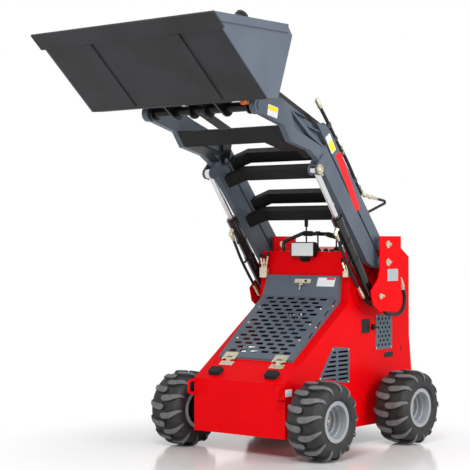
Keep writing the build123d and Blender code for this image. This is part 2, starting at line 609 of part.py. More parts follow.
def bucket_frame(y_along, z_out):
    """A (y, z) point measured up the bucket's back from the heel and out behind it."""
    length = distance(HEEL_BACK, BACK_CORNER)
    uy, uz = (BACK_CORNER[0] - HEEL_BACK[0]) / length, (BACK_CORNER[1] - HEEL_BACK[1]) / length
    return shifted(HEEL_BACK, (uy * y_along + uz * z_out, uz * y_along - uy * z_out))


def bucket_section():
    return [LIP, HEEL, HEEL_BACK, BACK_CORNER, RIM_BACK]


def bucket_shell():
    """Bent floor and back between the two side plates."""
    half = BUCKET_HALF_WIDTH - BUCKET_SHEET
    full = side_plate(bucket_section(), -half, half)
    inner = [shifted(LIP, (BUCKET_SHEET, BUCKET_SHEET)), shifted(HEEL, (BUCKET_SHEET / 2, BUCKET_SHEET)),
             shifted(HEEL_BACK, (-BUCKET_SHEET / 2, BUCKET_SHEET)),
             shifted(BACK_CORNER, (-BUCKET_SHEET, 0)), shifted(RIM_BACK, (-BUCKET_SHEET, BUCKET_SHEET)),
             shifted(RIM_BACK, (-BUCKET_SHEET, 40)), shifted(LIP, (0, 60))]
    return full - side_plate(inner, -half - 1, half + 1)


def bucket_side():
    """Left side plate with a thicker strip along its upper edge."""
    plate = side_plate(bucket_section(), BUCKET_HALF_WIDTH - BUCKET_SHEET, BUCKET_HALF_WIDTH)
    strip = folded_sheet([LIP, RIM_BACK], -BUCKET_STRIP, BUCKET_HALF_WIDTH, BUCKET_HALF_WIDTH + BUCKET_SHEET)
    bound = side_plate(bucket_section(), BUCKET_HALF_WIDTH - 1, BUCKET_HALF_WIDTH + BUCKET_SHEET + 1)
    return plate + (strip & bound)


def cutting_edge():
    """Thick strip along the lip, under the floor."""
    near = along(LIP, HEEL, EDGE_WIDTH)
    outline = [LIP, near, shifted(near, EDGE_OUT), shifted(LIP, EDGE_OUT)]
    return side_plate(outline, -EDGE_HALF_WIDTH, EDGE_HALF_WIDTH)


def wear_strips():
    """Two raised strips under the floor."""
    thickness, width, x = 8.0, 70.0, 320.0
    a, b = along(LIP, HEEL, EDGE_WIDTH + 5), along(LIP, HEEL, distance(LIP, HEEL) - 20)
    out = (thickness * cos(EDGE_DOWN), thickness * sin(EDGE_DOWN))
    return both_sides(side_plate([a, b, shifted(b, out), shifted(a, out)], x - width / 2, x + width / 2))


def coupler():
    """Plate on the bucket's back with two ears on the head shaft and two on the tilt rod."""
    plate = side_plate([bucket_frame(10, 0), bucket_frame(340, 0), bucket_frame(340, PLATE),
                        bucket_frame(10, PLATE)], -300, 300)
    ear_foot_low, ear_foot_high = bucket_frame(15, PLATE), bucket_frame(150, PLATE)
    ear = link_plate([(HEAD_AXIS, 50), (ear_foot_low, 4), (ear_foot_high, 4)], 180, 180 + PLATE)
    ear -= bar_x(HEAD_AXIS, HEAD_SHAFT_RADIUS + RUNNING, 179, 181 + PLATE)
    rod_low, rod_high = bucket_frame(120, PLATE), bucket_frame(270, PLATE)
    gap = EYE_WIDTH / 2 + 3
    rod_ear = link_plate([(TILT_ROD_EYE, EYE_RADIUS), (rod_low, 4), (rod_high, 4)], gap, gap + PLATE)
    rod_ear -= bar_x(TILT_ROD_EYE, CYLINDER_PIN_RADIUS, gap - 1, gap + PLATE + 1)
    shape = plate
    for piece in (ear, rod_ear):
        shape += piece + mirror(piece, Plane.YZ)
    return shape - side_plate(bucket_section(), -300, 300)


def tyre():
    """Right-hand tyre about its own axis: a many-sided carcass with a row of bent lugs on each side."""
    half, root, sides = TYRE_WIDTH / 2, TYRE_RADIUS - LUG_HEIGHT, 2 * LUGS
    side = [(RIM_WIDTH / 2 - RIM_SHEET - SEAT, RIM_FLANGE_RADIUS + 8), (half - 5, root - 30), (half - 30, root)]
    rows = [(-z, radius) for z, radius in side] + side[::-1]
    rings = [Pos(0, 0, z) * Rot(0, 0, 180 / sides) * RegularPolygon(radius, sides, major_radius=False)
             for z, radius in rows]
    carcass = loft(rings, ruled=True) - Cylinder(RIM_SEAT_RADIUS + SEAT, TYRE_WIDTH)
    foot = [(t + h, a) for a, t, h in LUG_LINE] + [(t - h, a) for a, t, h in LUG_LINE[::-1]]
    prism = extrude(Plane.YZ.offset(root - 30) * flat_face(foot), LUG_HEIGHT + 60)
    # one lug's height across the tyre: radius and place from its middle outwards
    crown = [(root - 30, LUG_START), (TYRE_RADIUS, LUG_START), (TYRE_RADIUS - 3, half - 40),
             (TYRE_RADIUS - 34, half), (root - 30, half)]
    lug = prism & extrude(Plane.XZ.offset(-60) * flat_face(crown), 120)
    step = 360 / LUGS
    lugs = [Rot(0, 0, k * step) * lug for k in range(LUGS)]
    lugs += [Rot(0, 0, (k + 0.5) * step) * mirror(lug, Plane.XY) for k in range(LUGS)]
    return carcass.fuse(*lugs)


def rim():
    """Deep stepped disc wheel with its flanges and hub, about its own axis."""
    half = RIM_WIDTH / 2
    barrel = [(RIM_BORE, -half), (RIM_FLANGE_RADIUS, -half), (RIM_FLANGE_RADIUS, RIM_SHEET - half),
              (RIM_SEAT_RADIUS, RIM_SHEET - half), (RIM_SEAT_RADIUS, half - RIM_SHEET),
              (RIM_FLANGE_RADIUS, half - RIM_SHEET), (RIM_FLANGE_RADIUS, half), (RIM_BORE, half)]
    dish = [*DISH_STEPS, *beside(DISH_STEPS, RIM_SHEET)[::-1]]
    bore = AXLE_RADIUS + RUNNING
    hub = [(bore, -14), (HUB_RADIUS + 8, -14), (HUB_RADIUS, 14), (HUB_RADIUS, SHAFT_END - 10), (bore, SHAFT_END - 10)]
    rings = [revolve(Plane.XZ * flat_face(outline), Axis.Z) for outline in (barrel, dish, hub)]
    return rings[0] + rings[1] + rings[2]


def wheel_motor():
    """Drive motor and output shaft of the left front wheel."""
    centre = (FRONT_AXLE_Y, TYRE_RADIUS)
    housing = bar_x(centre, 62, BODY_HALF_WIDTH, WHEEL_X - 20)
    return housing + bar_x(centre, AXLE_RADIUS, WHEEL_X - 20, WHEEL_X + SHAFT_END)


def platform():
    """Fold-down step for the operator."""
    y, z = PLATFORM_HINGE
    plate = block((-PLATFORM_HALF_WIDTH, PLATFORM_HALF_WIDTH), (y + 14, y + PLATFORM_LENGTH), (z - 20, z - 12))
    lips = block((-PLATFORM_HALF_WIDTH, 8 - PLATFORM_HALF_WIDTH), (y + 14, y + PLATFORM_LENGTH), (z - 12, z + 8))
    knuckle = bar_x((y, z), 12, PLATFORM_HALF_WIDTH - 60, PLATFORM_HALF_WIDTH)
    knuckle += block((PLATFORM_HALF_WIDTH - 60, PLATFORM_HALF_WIDTH), (y, y + 20), (z - 20, z - 4))
    knuckle -= bar_x((y, z), 7 + RUNNING, 0, PLATFORM_HALF_WIDTH + 1)
    return plate + lips + mirror(lips, Plane.YZ) + knuckle + mirror(knuckle, Plane.YZ)


def platform_ears():
    """Two ears on the body's back with the platform's hinge pins."""
    y, z = PLATFORM_HINGE
    ear = link_plate([((y, z), 12), ((REAR_FOOT[0] + 1, z - 20), 1), ((REAR_FOOT[0] + 1, z + 20), 1)],
                     PLATFORM_HALF_WIDTH + 3, PLATFORM_HALF_WIDTH + 11)
    return ear + bar_x((y, z), 7, PLATFORM_HALF_WIDTH - 56, PLATFORM_HALF_WIDTH + 3)


def deck_bumper():
    """Rounded rubber block on the left half of the deck, a stop for the boom."""
    start = slope_point(-335.0)
    up = (0, *shifted(slope_point(100), (-slope_point(0)[0], -slope_point(0)[1])))
    plane = Plane(origin=(212, *start), x_dir=(1, 0, 0), z_dir=(0, -up[2], up[1]))
    return extrude(plane * RectangleRounded(90, 62, 14), 26, taper=9)


def work_lamp():
    """Lamp housing on a bracket on the console's steep front."""
    front, back = console_front(LAMP_BOTTOM) - LAMP_REACH, console_front(LAMP_BOTTOM) - LAMP_GAP
    top = LAMP_BOTTOM + LAMP_HEIGHT
    face = Plane(origin=(0, back, (LAMP_BOTTOM + top) / 2), x_dir=(1, 0, 0), z_dir=(0, -1, 0))
    housing = extrude(face * RectangleRounded(LAMP_WIDTH, LAMP_HEIGHT, 14), back - front)
    housing -= block((LAMP_FRAME - LAMP_WIDTH / 2, LAMP_WIDTH / 2 - LAMP_FRAME), (front - 1, back - LAMP_FRAME),
                     (LAMP_BOTTOM + LAMP_FRAME, top - LAMP_FRAME))
    foot_low = LAMP_BOTTOM - 30
    foot = side_plate([(front + 12, LAMP_BOTTOM), (back, LAMP_BOTTOM), (console_front(foot_low), foot_low),
                       (console_front(foot_low) - 5, foot_low), (front + 12, LAMP_BOTTOM - 5)], -30, 30)
    return housing + foot


def lamp_lens():
    """Clear lens in the lamp's frame."""
    front = console_front(LAMP_BOTTOM) - LAMP_REACH
    half = LAMP_WIDTH / 2 - LAMP_FRAME
    return block((-half, half), (front + 3, front + 9),
                 (LAMP_BOTTOM + LAMP_FRAME, LAMP_BOTTOM + LAMP_HEIGHT - LAMP_FRAME))


def tube_path(points, radius, bend):
    """A round tube along a bent path of (x, y, z) points."""
    path = FilletPolyline(*points, radius=bend)
    start = Plane(origin=path @ 0, z_dir=path % 0)
    return sweep(start * Circle(radius), path=path)


def console_height(y):
    """Height of the console's top at a given y."""
    k = (y - CONSOLE_TOP_FRONT[0]) / (CONSOLE_TOP_REAR[0] - CONSOLE_TOP_FRONT[0])
    return CONSOLE_TOP_FRONT[1] + k * (CONSOLE_TOP_REAR[1] - CONSOLE_TOP_FRONT[1])


def handlebar():
    """Bent grab bar across the console."""
    y = 330.0
    foot = console_height(y + BAR_RADIUS) + SEAT
    return tube_path([(-208, y, foot), (-208, y, foot + 58), (-60, y, foot + 110), (120, y, foot + 106),
                      (228, y, foot + 84), (228, y, foot)], BAR_RADIUS, 22)


def control_levers():
    """Hand levers with grips, a cross-handled lever and two small knobs on the console."""
    pieces = []
    for x, y, stem, grip_radius, grip_height in LEVERS:
        foot = console_height(y + 17) + SEAT
        piece = Pos(x, y, foot + stem / 2) * Cylinder(5, stem)
        piece += Pos(x, y, foot + stem + grip_height / 2 - 1) * Cylinder(grip_radius, grip_height)
        piece += Pos(x, y, foot + 4) * Cylinder(min(16, 2 * grip_radius), 8)
        pieces.append(piece)
    return Compound([solid for piece in pieces for solid in piece.solids()])


def thigh_pad():
    """Padded rest for the operator above the platform."""
    half = BODY_HALF_WIDTH - PAD_SIDE
    low, high = along(REAR_WAIST, REAR_CORNER, 60), along(REAR_WAIST, REAR_CORNER, 305)
    return side_plate([shifted(low, (SEAT, 0)), shifted(low, (PAD_THICKNESS, 12)),
                       shifted(high, (PAD_THICKNESS, -12)), shifted(high, (SEAT, 0))], -half, half)


def engine_block():
    """Plain block of the engine's size behind the hood."""
    half = BODY_HALF_WIDTH - ENGINE_SIDE
    return block((-half, half), ENGINE_Y, (ENGINE_BOTTOM, ENGINE_BOTTOM + ENGINE_HEIGHT))


def engine_mounts():
    """Rails that carry the engine between the body's sides."""
    half = BODY_HALF_WIDTH - SHEET
    rails = [block((-half, half), (y, y + 50), (ENGINE_BOTTOM - 60, ENGINE_BOTTOM))
             for y in (ENGINE_Y[0] + 20, ENGINE_Y[1] - 70)]
    return Compound([solid for rail in rails for solid in rail.solids()])


def tie_down_front():
    """Round-bar loop on the left side near the nose."""
    x, y, z, reach, half = BODY_HALF_WIDTH, NOSE_Y + 40, NOSE_TOP - 45, 34.0, 32.0
    return tube_path([(x, y, z + half), (x + reach, y, z + half),
                      (x + reach, y, z - half), (x, y, z - half)], 8, 22)


def tie_down_rear():
    """Round-bar loop at the left rear corner."""
    x, y, z, reach, half = BODY_HALF_WIDTH - 30, REAR_FOOT[0], 215.0, 45.0, 30.0
    return tube_path([(x, y, z + half), (x, y + reach, z + half),
                      (x, y + reach, z - half), (x, y, z - half)], 8, 22)


def side_vent():
    """Louvre panel behind the front wheel on the left side, two columns of slots."""
    slots = []
    edge = tan_of(VENT_OUTLINE[0], VENT_OUTLINE[1])
    for row in range(7):
        z = VENT_OUTLINE[3][1] + 32 + row * LOUVRE_PITCH
        slanted = VENT_OUTLINE[0][0] + (z + LOUVRE_HEIGHT - VENT_OUTLINE[0][1]) / edge + 16
        for y_from, y_to in LOUVRE_COLUMNS:
            start = max(y_from, slanted)
            if y_to - start > 2 * LOUVRE_HEIGHT:
                slots.append(Pos((start + y_to) / 2, z) * SlotOverall(y_to - start, LOUVRE_HEIGHT))
    sheet = flat_face(VENT_OUTLINE) - slots
    return extrude(Plane.YZ.offset(BODY_HALF_WIDTH) * sheet, VENT_SHEET)


def side_grille():
    """Perforated plate below the tower on the left side, staggered rows of holes."""
    middle = (sum(GRILLE_Y) / 2, sum(GRILLE_Z) / 2)
    holes = [Pos((k - (3 - row % 2) / 2) * 40, (row - 3) * 27) * Circle(GRILLE_HOLE / 2)
             for row in range(7) for k in range(4 - row % 2)]
    sheet = Rectangle(GRILLE_Y[1] - GRILLE_Y[0], GRILLE_Z[1] - GRILLE_Z[0]) - holes
    return extrude(Plane.YZ.offset(BODY_HALF_WIDTH) * (Pos(*middle) * sheet), VENT_SHEET)


def wheel_nodes():
    """Tyre and rim of each wheel, named by place; the left ones mirror the right ones."""
    nodes = {}
    for end, axle_y in (("front", FRONT_AXLE_Y), ("rear", FRONT_AXLE_Y + WHEELBASE)):
        place = Pos(-WHEEL_X, axle_y, TYRE_RADIUS) * Rot(0, -90, 0)
        for kind, shape in (("tyre", tyre()), ("rim", rim())):
            nodes[f"{kind}_{end}_right"] = place * shape
            nodes[f"{kind}_{end}_left"] = mirror(place * shape, Plane.YZ)
    return nodes


def wheel_motors():
    """Four drive motors with their output shafts."""
    front = wheel_motor()
    rear = Pos(0, WHEELBASE, 0) * front
    return Compound([*both_sides(front).solids(), *both_sides(rear).solids()])


def main():
    left_barrel, left_rod = lift_barrel(), lift_rod()
    arm, upper = boom_arm(), upper_arm()
    nodes = {
        "body_shell": body_shell(),
        "hood_panel": hood_panel(),
        "hood_screen": hood_screen(),
        "hood_hinge_leaves": both_sides(hood_hinge_leaf()),
        "hood_hinge_bases": both_sides(hood_hinge_base()),
        "tower_plates": both_sides(tower()),
        "tower_pins": tower_pins(),
        "deck_bumpers": both_sides(deck_bumper()),
        "work_lamp": work_lamp(),
        "lamp_lens": lamp_lens(),
        "handlebar": handlebar(),
        "control_levers": control_levers(),
        "thigh_pad": thigh_pad(),
        "engine_block": engine_block(),
        "engine_rails": engine_mounts(),
        "tie_down_loops": Compound([*both_sides(tie_down_front()).solids(),
                                    *both_sides(tie_down_rear()).solids()]),
        "side_vents": both_sides(side_vent()),
        "side_grilles": both_sides(side_grille()),
        "wheel_motors": wheel_motors(),
        "platform": platform(),
        "platform_ears": both_sides(platform_ears()),
        "boom_arm_left": arm,
        "boom_arm_right": mirror(arm, Plane.YZ),
        "boom_cross_plate": cross_plate(),
        "boom_crossbars": Compound([*crossbar(LOWER_BAR, LOWER_MIDDLE).solids(),
                                    *crossbar(LOWER_BAR + LOWER_STEP, LOWER_MIDDLE).solids()]),
        "upper_arm_left": upper,
        "upper_arm_right": mirror(upper, Plane.YZ),
        "upper_crossbars": Compound([*crossbar(UPPER_BAR, UPPER_MIDDLE).solids(),
                                     *crossbar(UPPER_BAR + UPPER_STEP, UPPER_MIDDLE).solids()]),
        "knee_rockers": both_sides(rocker()),
        "front_links": both_sides(front_link()),
        "head_frame": head_frame(),
        "lift_barrel_left": left_barrel,
        "lift_barrel_right": mirror(left_barrel, Plane.YZ),
        "lift_rod_left": left_rod,
        "lift_rod_right": mirror(left_rod, Plane.YZ),
        "tilt_barrel": tilt_barrel(),
        "tilt_rod": tilt_rod(),
        "bucket_shell": bucket_shell(),
        "bucket_sides": both_sides(bucket_side()),
        "bucket_cutting_edge": cutting_edge(),
        "bucket_wear_strips": wear_strips(),
        "bucket_coupler": coupler(),
        **wheel_nodes(),
    }
    for name, shape in nodes.items():
        export_step(Pos(0, CENTRE_SHIFT, 0) * shape, f"parts/{name}.step")
    places = {
        "lift_pivot": LIFT_PIVOT, "link_pivot": LINK_PIVOT, "knee_pin": KNEE_PIN,
        "front_link_rear": FRONT_LINK_REAR, "head_axis": HEAD_AXIS, "trunnion": TRUNNION_AXIS,
        "tilt_rod_eye": TILT_ROD_EYE, "lift_rod_eye": LIFT_ROD_EYE, "lift_base": LIFT_BASE,
        "hood_hinge": HOOD_HINGE, "platform_hinge": PLATFORM_HINGE,
        "front_axle": (FRONT_AXLE_Y, TYRE_RADIUS), "rear_axle": (FRONT_AXLE_Y + WHEELBASE, TYRE_RADIUS),
    }
    for name, (y, z) in places.items():
        print("place", name, round(y + CENTRE_SHIFT, 4), round(z, 4))
    print("angles", LOWERED_ANGLE, DUMP_ANGLE, HOOD_ANGLE, FOLD_ANGLE)


main()
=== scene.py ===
import json

import bmesh
import bpy
import numpy as np
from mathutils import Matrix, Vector


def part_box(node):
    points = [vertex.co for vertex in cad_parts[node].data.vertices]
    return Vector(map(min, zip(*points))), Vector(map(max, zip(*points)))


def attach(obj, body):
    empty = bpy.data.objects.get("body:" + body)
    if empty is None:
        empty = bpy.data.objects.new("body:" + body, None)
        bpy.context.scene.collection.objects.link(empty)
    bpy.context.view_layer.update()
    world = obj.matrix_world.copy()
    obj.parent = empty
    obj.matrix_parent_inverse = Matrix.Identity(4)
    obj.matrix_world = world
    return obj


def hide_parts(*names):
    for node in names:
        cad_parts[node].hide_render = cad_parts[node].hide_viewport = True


# Stand-on mini loader: paints, plating and rubber for the fixed frame's pieces, the tyres' tread,
# wheel nuts, hood hardware, tie loops, hydraulic lines and fittings, blank plates, the padded rest,
# the studio and the camera.
# The frame is in metres, +Z up, the bucket towards -Y. New pieces are worked out in the drawing's
# millimetres, whose y = 0 lies DRAWING_SHIFT behind the frame's, and make_piece brings them in.

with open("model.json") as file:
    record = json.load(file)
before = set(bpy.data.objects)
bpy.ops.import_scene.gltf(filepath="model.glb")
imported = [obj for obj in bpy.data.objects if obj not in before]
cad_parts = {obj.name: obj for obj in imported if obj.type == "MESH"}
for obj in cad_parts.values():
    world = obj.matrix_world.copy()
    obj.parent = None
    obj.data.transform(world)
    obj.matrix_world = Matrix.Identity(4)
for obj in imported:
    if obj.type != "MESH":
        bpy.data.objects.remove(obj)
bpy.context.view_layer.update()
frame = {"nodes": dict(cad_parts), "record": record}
nodes = frame["nodes"]
joints = {joint["name"]: joint for joint in frame["record"]["behaviour"]["joints"]}
mm = 0.001
LIFT_PIVOT_Y = 485.0          # the drawing's y of the lift pivot, millimetres
DRAWING_SHIFT = joints["lift"]["pos_m"][1] * 1000 - LIFT_PIVOT_Y

# Camera, from the photograph: a long lens from the machine's front left
CAMERA_TURN = 39.10           # degrees from the machine's front towards its left
CAMERA_TILT = 0.21            # degrees upwards
CAMERA_HEIGHT = 1.2607
CAMERA_SIDE = 5.2496          # from the machine's middle plane
CAMERA_FRONT = 6.614          # ahead of the front axle
FOCAL_IN_FRAMES = 1419.55 / 470

# Sizes shared with the frame's solids, millimetres
BODY_SIDE = 343.0
ARM_INNER, ARM_OUTER = 382.0, 422.0
ARM_MIDDLE = (ARM_INNER + ARM_OUTER) / 2
TOWER_OUTER = 472.0
BEAM_TURN = np.radians(49.6)
TREAD_RADIUS = 222.0
MAX_SHEET = 2.0               # the body's inner faces lie deeper than this
WHEEL_MIDDLE = 516.0          # from the machine's middle plane to a tyre's
HOOD_MARGIN = 8.0
HOOD_FOOT, HOOD_BEND, HOOD_HEAD = (-232.0, 558.0), (200.0, 914.0), (253.4, 1042.0)
# the body's outline from the side, from the nose's foot over hood and console to the rear foot: (y, z)
BODY_PROFILE = [(-387.0, 117.0), (-387.0, 433.0), (258.0, 882.0), (285.0, 1190.0), (831.0, 1218.0),
                (935.0, 1155.0), (938.0, 650.0), (986.0, 291.0), (986.0, 117.0)]


def joint_at(name):
    """The drawing's (y, z) of a joint's axis."""
    y, z = joints[name]["pos_m"][1:]
    return np.array([y * 1000 - DRAWING_SHIFT, z * 1000])


LIFT_PIVOT = joint_at("lift")
LIFT_BASE = joint_at("lift_barrel_left")
LIFT_EYE = joint_at("lift_rod_left")


# The camera comes first

def photo_camera():
    """The photograph's camera."""
    data = bpy.data.cameras.new("photo_camera")
    data.sensor_fit = "HORIZONTAL"
    data.sensor_width = 36
    data.lens = 36 * FOCAL_IN_FRAMES
    camera = bpy.data.objects.new("photo_camera", data)
    bpy.context.collection.objects.link(camera)
    turn, tilt = np.radians([CAMERA_TURN, CAMERA_TILT])
    ahead = Vector((-np.sin(turn) * np.cos(tilt), np.cos(turn) * np.cos(tilt), np.sin(tilt)))
    axle_y = joints["wheel_front_left"]["pos_m"][1]
    camera.location = (CAMERA_SIDE, axle_y - CAMERA_FRONT, CAMERA_HEIGHT)
    camera.rotation_euler = ahead.to_track_quat("-Z", "Y").to_euler()
    bpy.context.scene.camera = camera


photo_camera()


# Materials

def linear(hex_colour):
    """The linear RGBA colour of an sRGB hex value."""
    value = np.array([int(hex_colour[i:i + 2], 16) for i in (1, 3, 5)]) / 255
    value = np.where(value <= 0.04045, value / 12.92, ((value + 0.055) / 1.055) ** 2.4)
    return (*map(float, value), 1.0)


def add(tree, kind, settings=None, **links):
    """Add a shader node; settings are its attributes, and links its inputs as values or sockets."""
    shader = tree.nodes.new(kind)
    for key, value in (settings or {}).items():
        setattr(shader, key, value)
    for key, value in links.items():
        spot = shader.inputs[int(key[1:])] if key[0] == "i" and key[1:].isdigit() else \
            shader.inputs[key.replace("_", " ")]
        if isinstance(value, bpy.types.NodeSocket):
            tree.links.new(value, spot)
        else:
            spot.default_value = value
    return shader


def per_mm(size):
    """The scale of a pattern on Object coordinates whose features are this many millimetres."""
    return 1 / (size * mm)


def new_material(name):
    """An empty material with its surface shader; returns (material, tree, shader, object coordinates)."""
    material = bpy.data.materials.new(name)
    material.use_nodes = True
    tree = material.node_tree
    tree.nodes.clear()
    output = add(tree, "ShaderNodeOutputMaterial")
    shader = add(tree, "ShaderNodeBsdfPrincipled")
    tree.links.new(shader.outputs[0], output.inputs[0])
    place = add(tree, "ShaderNodeTexCoord")
    return material, tree, shader, place.outputs["Object"]


def shade(tree, fac, low, high, low_at=0.0, high_at=1.0):
    """A colour ramp between two hex colours."""
    ramp = add(tree, "ShaderNodeValToRGB", i0=fac)
    first, last = ramp.color_ramp.elements
    first.position, last.position = low_at, high_at
    first.color, last.color = linear(low), linear(high)
    return ramp.outputs[0]


def enamel(name, colour, deep, gloss=0.3, peel=0.00003, coat=0.15, specular=0.35):
    """Sprayed enamel over sheet steel: an orange-peel skin about 4 mm across and slow patches of tone."""
    material, tree, shader, place = new_material(name)
    patches = add(tree, "ShaderNodeTexNoise", Vector=place, Scale=per_mm(260), Detail=3.0)
    tone = shade(tree, patches.outputs[0], deep, colour, 0.25, 0.62)
    skin = add(tree, "ShaderNodeTexNoise", Vector=place, Scale=per_mm(4), Detail=1.0)
    wipe = add(tree, "ShaderNodeTexNoise", Vector=place, Scale=per_mm(60), Detail=4.0)
    rough = add(tree, "ShaderNodeMapRange", i0=wipe.outputs[0], i3=gloss - 0.05, i4=gloss + 0.08)
    bump = add(tree, "ShaderNodeBump", Height=skin.outputs[0], Strength=0.2, Distance=peel)
    for key, value in (("Base Color", tone), ("Roughness", rough.outputs[0]), ("Normal", bump.outputs[0])):
        tree.links.new(value, shader.inputs[key])
    shader.inputs["Coat Weight"].default_value = coat
    shader.inputs["Coat Roughness"].default_value = gloss * 0.4
    shader.inputs["Specular IOR Level"].default_value = specular
    return material


def body_enamel():
    """The body's red outside, and black painted shade on its inside: a point is painted black when it lies
    deeper than MAX_SHEET below every outer sheet, by the least of its distances to the sides and to each
    line of the profile.
    The line of the console's front, drawn on down, leaves the nose red inside.
    The deck under the closed hood is painted black as shade too, where it lies within the hood's bounds less
    a margin."""
    material, tree, shader, place = new_material("red_body_enamel_and_inner_shade")
    patches = add(tree, "ShaderNodeTexNoise", Vector=place, Scale=per_mm(300), Detail=3.0)
    paint = shade(tree, patches.outputs[0], "#D3020A", "#DD030B", 0.25, 0.62)
    width = add(tree, "ShaderNodeSeparateXYZ", i0=place)
    away = add(tree, "ShaderNodeMath", {"operation": "ABSOLUTE"}, i0=width.outputs[0])
    deep = add(tree, "ShaderNodeMath", {"operation": "SUBTRACT"}, i0=BODY_SIDE * mm, i1=away.outputs[0])
    for start, end in zip(BODY_PROFILE, BODY_PROFILE[1:]):
        along = np.subtract(end, start) / np.hypot(*np.subtract(end, start))
        inward = np.array([along[1], -along[0]])
        offset = float(np.dot(inward, (start[0] + DRAWING_SHIFT, start[1]))) * mm
        reach = add(tree, "ShaderNodeVectorMath", {"operation": "DOT_PRODUCT"}, i0=place,
                    i1=(0.0, *inward))
        depth = add(tree, "ShaderNodeMath", {"operation": "SUBTRACT"}, i0=reach.outputs["Value"],
                    i1=offset)
        deep = add(tree, "ShaderNodeMath", {"operation": "MINIMUM"}, i0=deep.outputs[0],
                   i1=depth.outputs[0])
    inside = add(tree, "ShaderNodeMath", {"operation": "GREATER_THAN"}, i0=deep.outputs[0],
                 i1=MAX_SHEET * mm)
    low, high = np.array(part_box("hood_panel"))
    from_hood = add(tree, "ShaderNodeVectorMath", {"operation": "SUBTRACT"}, i0=place,
                    i1=tuple((low + high) / 2))
    off_hood = add(tree, "ShaderNodeVectorMath", {"operation": "ABSOLUTE"}, i0=from_hood.outputs[0])
    half = (high - low) / 2 - HOOD_MARGIN * mm
    room = add(tree, "ShaderNodeVectorMath", {"operation": "SUBTRACT"}, i0=tuple(half),
               i1=off_hood.outputs[0])
    room = add(tree, "ShaderNodeSeparateXYZ", i0=room.outputs[0])
    least = add(tree, "ShaderNodeMath", {"operation": "MINIMUM"}, i0=room.outputs[0],
                i1=room.outputs[1])
    least = add(tree, "ShaderNodeMath", {"operation": "MINIMUM"}, i0=least.outputs[0],
                i1=room.outputs[2])
    under = add(tree, "ShaderNodeMath", {"operation": "GREATER_THAN"}, i0=least.outputs[0], i1=0.0)
    shaded_inside = add(tree, "ShaderNodeMath", {"operation": "MAXIMUM"}, i0=inside.outputs[0],
                 i1=under.outputs[0])
    # black painted shade on the body's inner faces and on the deck under the hood
    tone = add(tree, "ShaderNodeMix", {"data_type": "RGBA"}, i0=shaded_inside.outputs[0], i6=paint,
               i7=linear("#101010"))
    skin = add(tree, "ShaderNodeTexNoise", Vector=place, Scale=per_mm(4), Detail=1.0)
    bump = add(tree, "ShaderNodeBump", Height=skin.outputs[0], Strength=0.2, Distance=0.00003)
    tree.links.new(tone.outputs[2], shader.inputs["Base Color"])
    tree.links.new(bump.outputs[0], shader.inputs["Normal"])
    shader.inputs["Roughness"].default_value = 0.34
    shader.inputs["Specular IOR Level"].default_value = 0.05
    return material


def head_enamel():
    """Black enamel between the boom's heads and slate outside them, parted where the distance from the
    middle plane passes the arm's inner face."""
    material, tree, shader, place = new_material("head_frame_enamel")
    cloud = add(tree, "ShaderNodeTexNoise", Vector=place, Scale=per_mm(260), Detail=3.0)
    black = shade(tree, cloud.outputs[0], "#0D0E0E", "#131415", 0.25, 0.62)
    split = add(tree, "ShaderNodeSeparateXYZ", i0=place)
    away = add(tree, "ShaderNodeMath", {"operation": "ABSOLUTE"}, i0=split.outputs[0])
    outer = add(tree, "ShaderNodeMath", {"operation": "GREATER_THAN"}, i0=away.outputs[0],
                i1=ARM_INNER * mm)
    tone = add(tree, "ShaderNodeMix", {"data_type": "RGBA"}, i0=outer.outputs[0], i6=black,
               i7=linear("#515A65"))
    tree.links.new(tone.outputs[2], shader.inputs["Base Color"])
    shader.inputs["Roughness"].default_value = 0.34
    shader.inputs["Specular IOR Level"].default_value = 0.2
    return material


def hard_chrome():
    """Ground and hard-chromed rod: bright, with a trace of its grinding marks."""
    material, tree, shader, place = new_material("hard_chrome")
    haze = add(tree, "ShaderNodeTexNoise", Vector=place, Scale=per_mm(14), Detail=4.0)
    rough = add(tree, "ShaderNodeMapRange", i0=haze.outputs[0], i3=0.10, i4=0.22)
    tree.links.new(rough.outputs[0], shader.inputs["Roughness"])
    shader.inputs["Base Color"].default_value = linear("#D8DADC")
    shader.inputs["Metallic"].default_value = 1.0
    return material


def zinc_plate(name="passivated_zinc", warm="#B7A982", pale="#D6D2C4"):
    """Passivated zinc on small steel parts: a warm silver with cloudy patches of yellow."""
    material, tree, shader, place = new_material(name)
    cloud = add(tree, "ShaderNodeTexNoise", Vector=place, Scale=per_mm(9), Detail=3.0)
    tone = shade(tree, cloud.outputs[0], warm, pale, 0.35, 0.65)
    tree.links.new(tone, shader.inputs["Base Color"])
    shader.inputs["Metallic"].default_value = 1.0
    shader.inputs["Roughness"].default_value = 0.34
    return material


def tyre_rubber():
    """Carbon-black tyre rubber: dark flanks, and lug tops that dust and scuffing leave greyer and drier."""
    material, tree, shader, place = new_material("tyre_rubber")
    scuff = add(tree, "ShaderNodeTexNoise", Vector=place, Scale=per_mm(30), Detail=6.0)
    flank = shade(tree, scuff.outputs[0], "#1B1B1C", "#2B2B2C", 0.32, 0.68)
    top = shade(tree, scuff.outputs[0], "#555657", "#6C6D6F", 0.30, 0.70)
    worn = add(tree, "ShaderNodeAttribute", {"attribute_name": "worn"})
    tone = add(tree, "ShaderNodeMix", {"data_type": "RGBA"}, i0=worn.outputs["Fac"], i6=flank, i7=top)
    grain = add(tree, "ShaderNodeTexNoise", Vector=place, Scale=per_mm(1.6), Detail=2.0)
    bump = add(tree, "ShaderNodeBump", Height=grain.outputs[0], Strength=0.4, Distance=0.0002)
    tree.links.new(tone.outputs[2], shader.inputs["Base Color"])
    tree.links.new(bump.outputs[0], shader.inputs["Normal"])
    shader.inputs["Roughness"].default_value = 0.6
    shader.inputs["Specular IOR Level"].default_value = 0.35
    return material


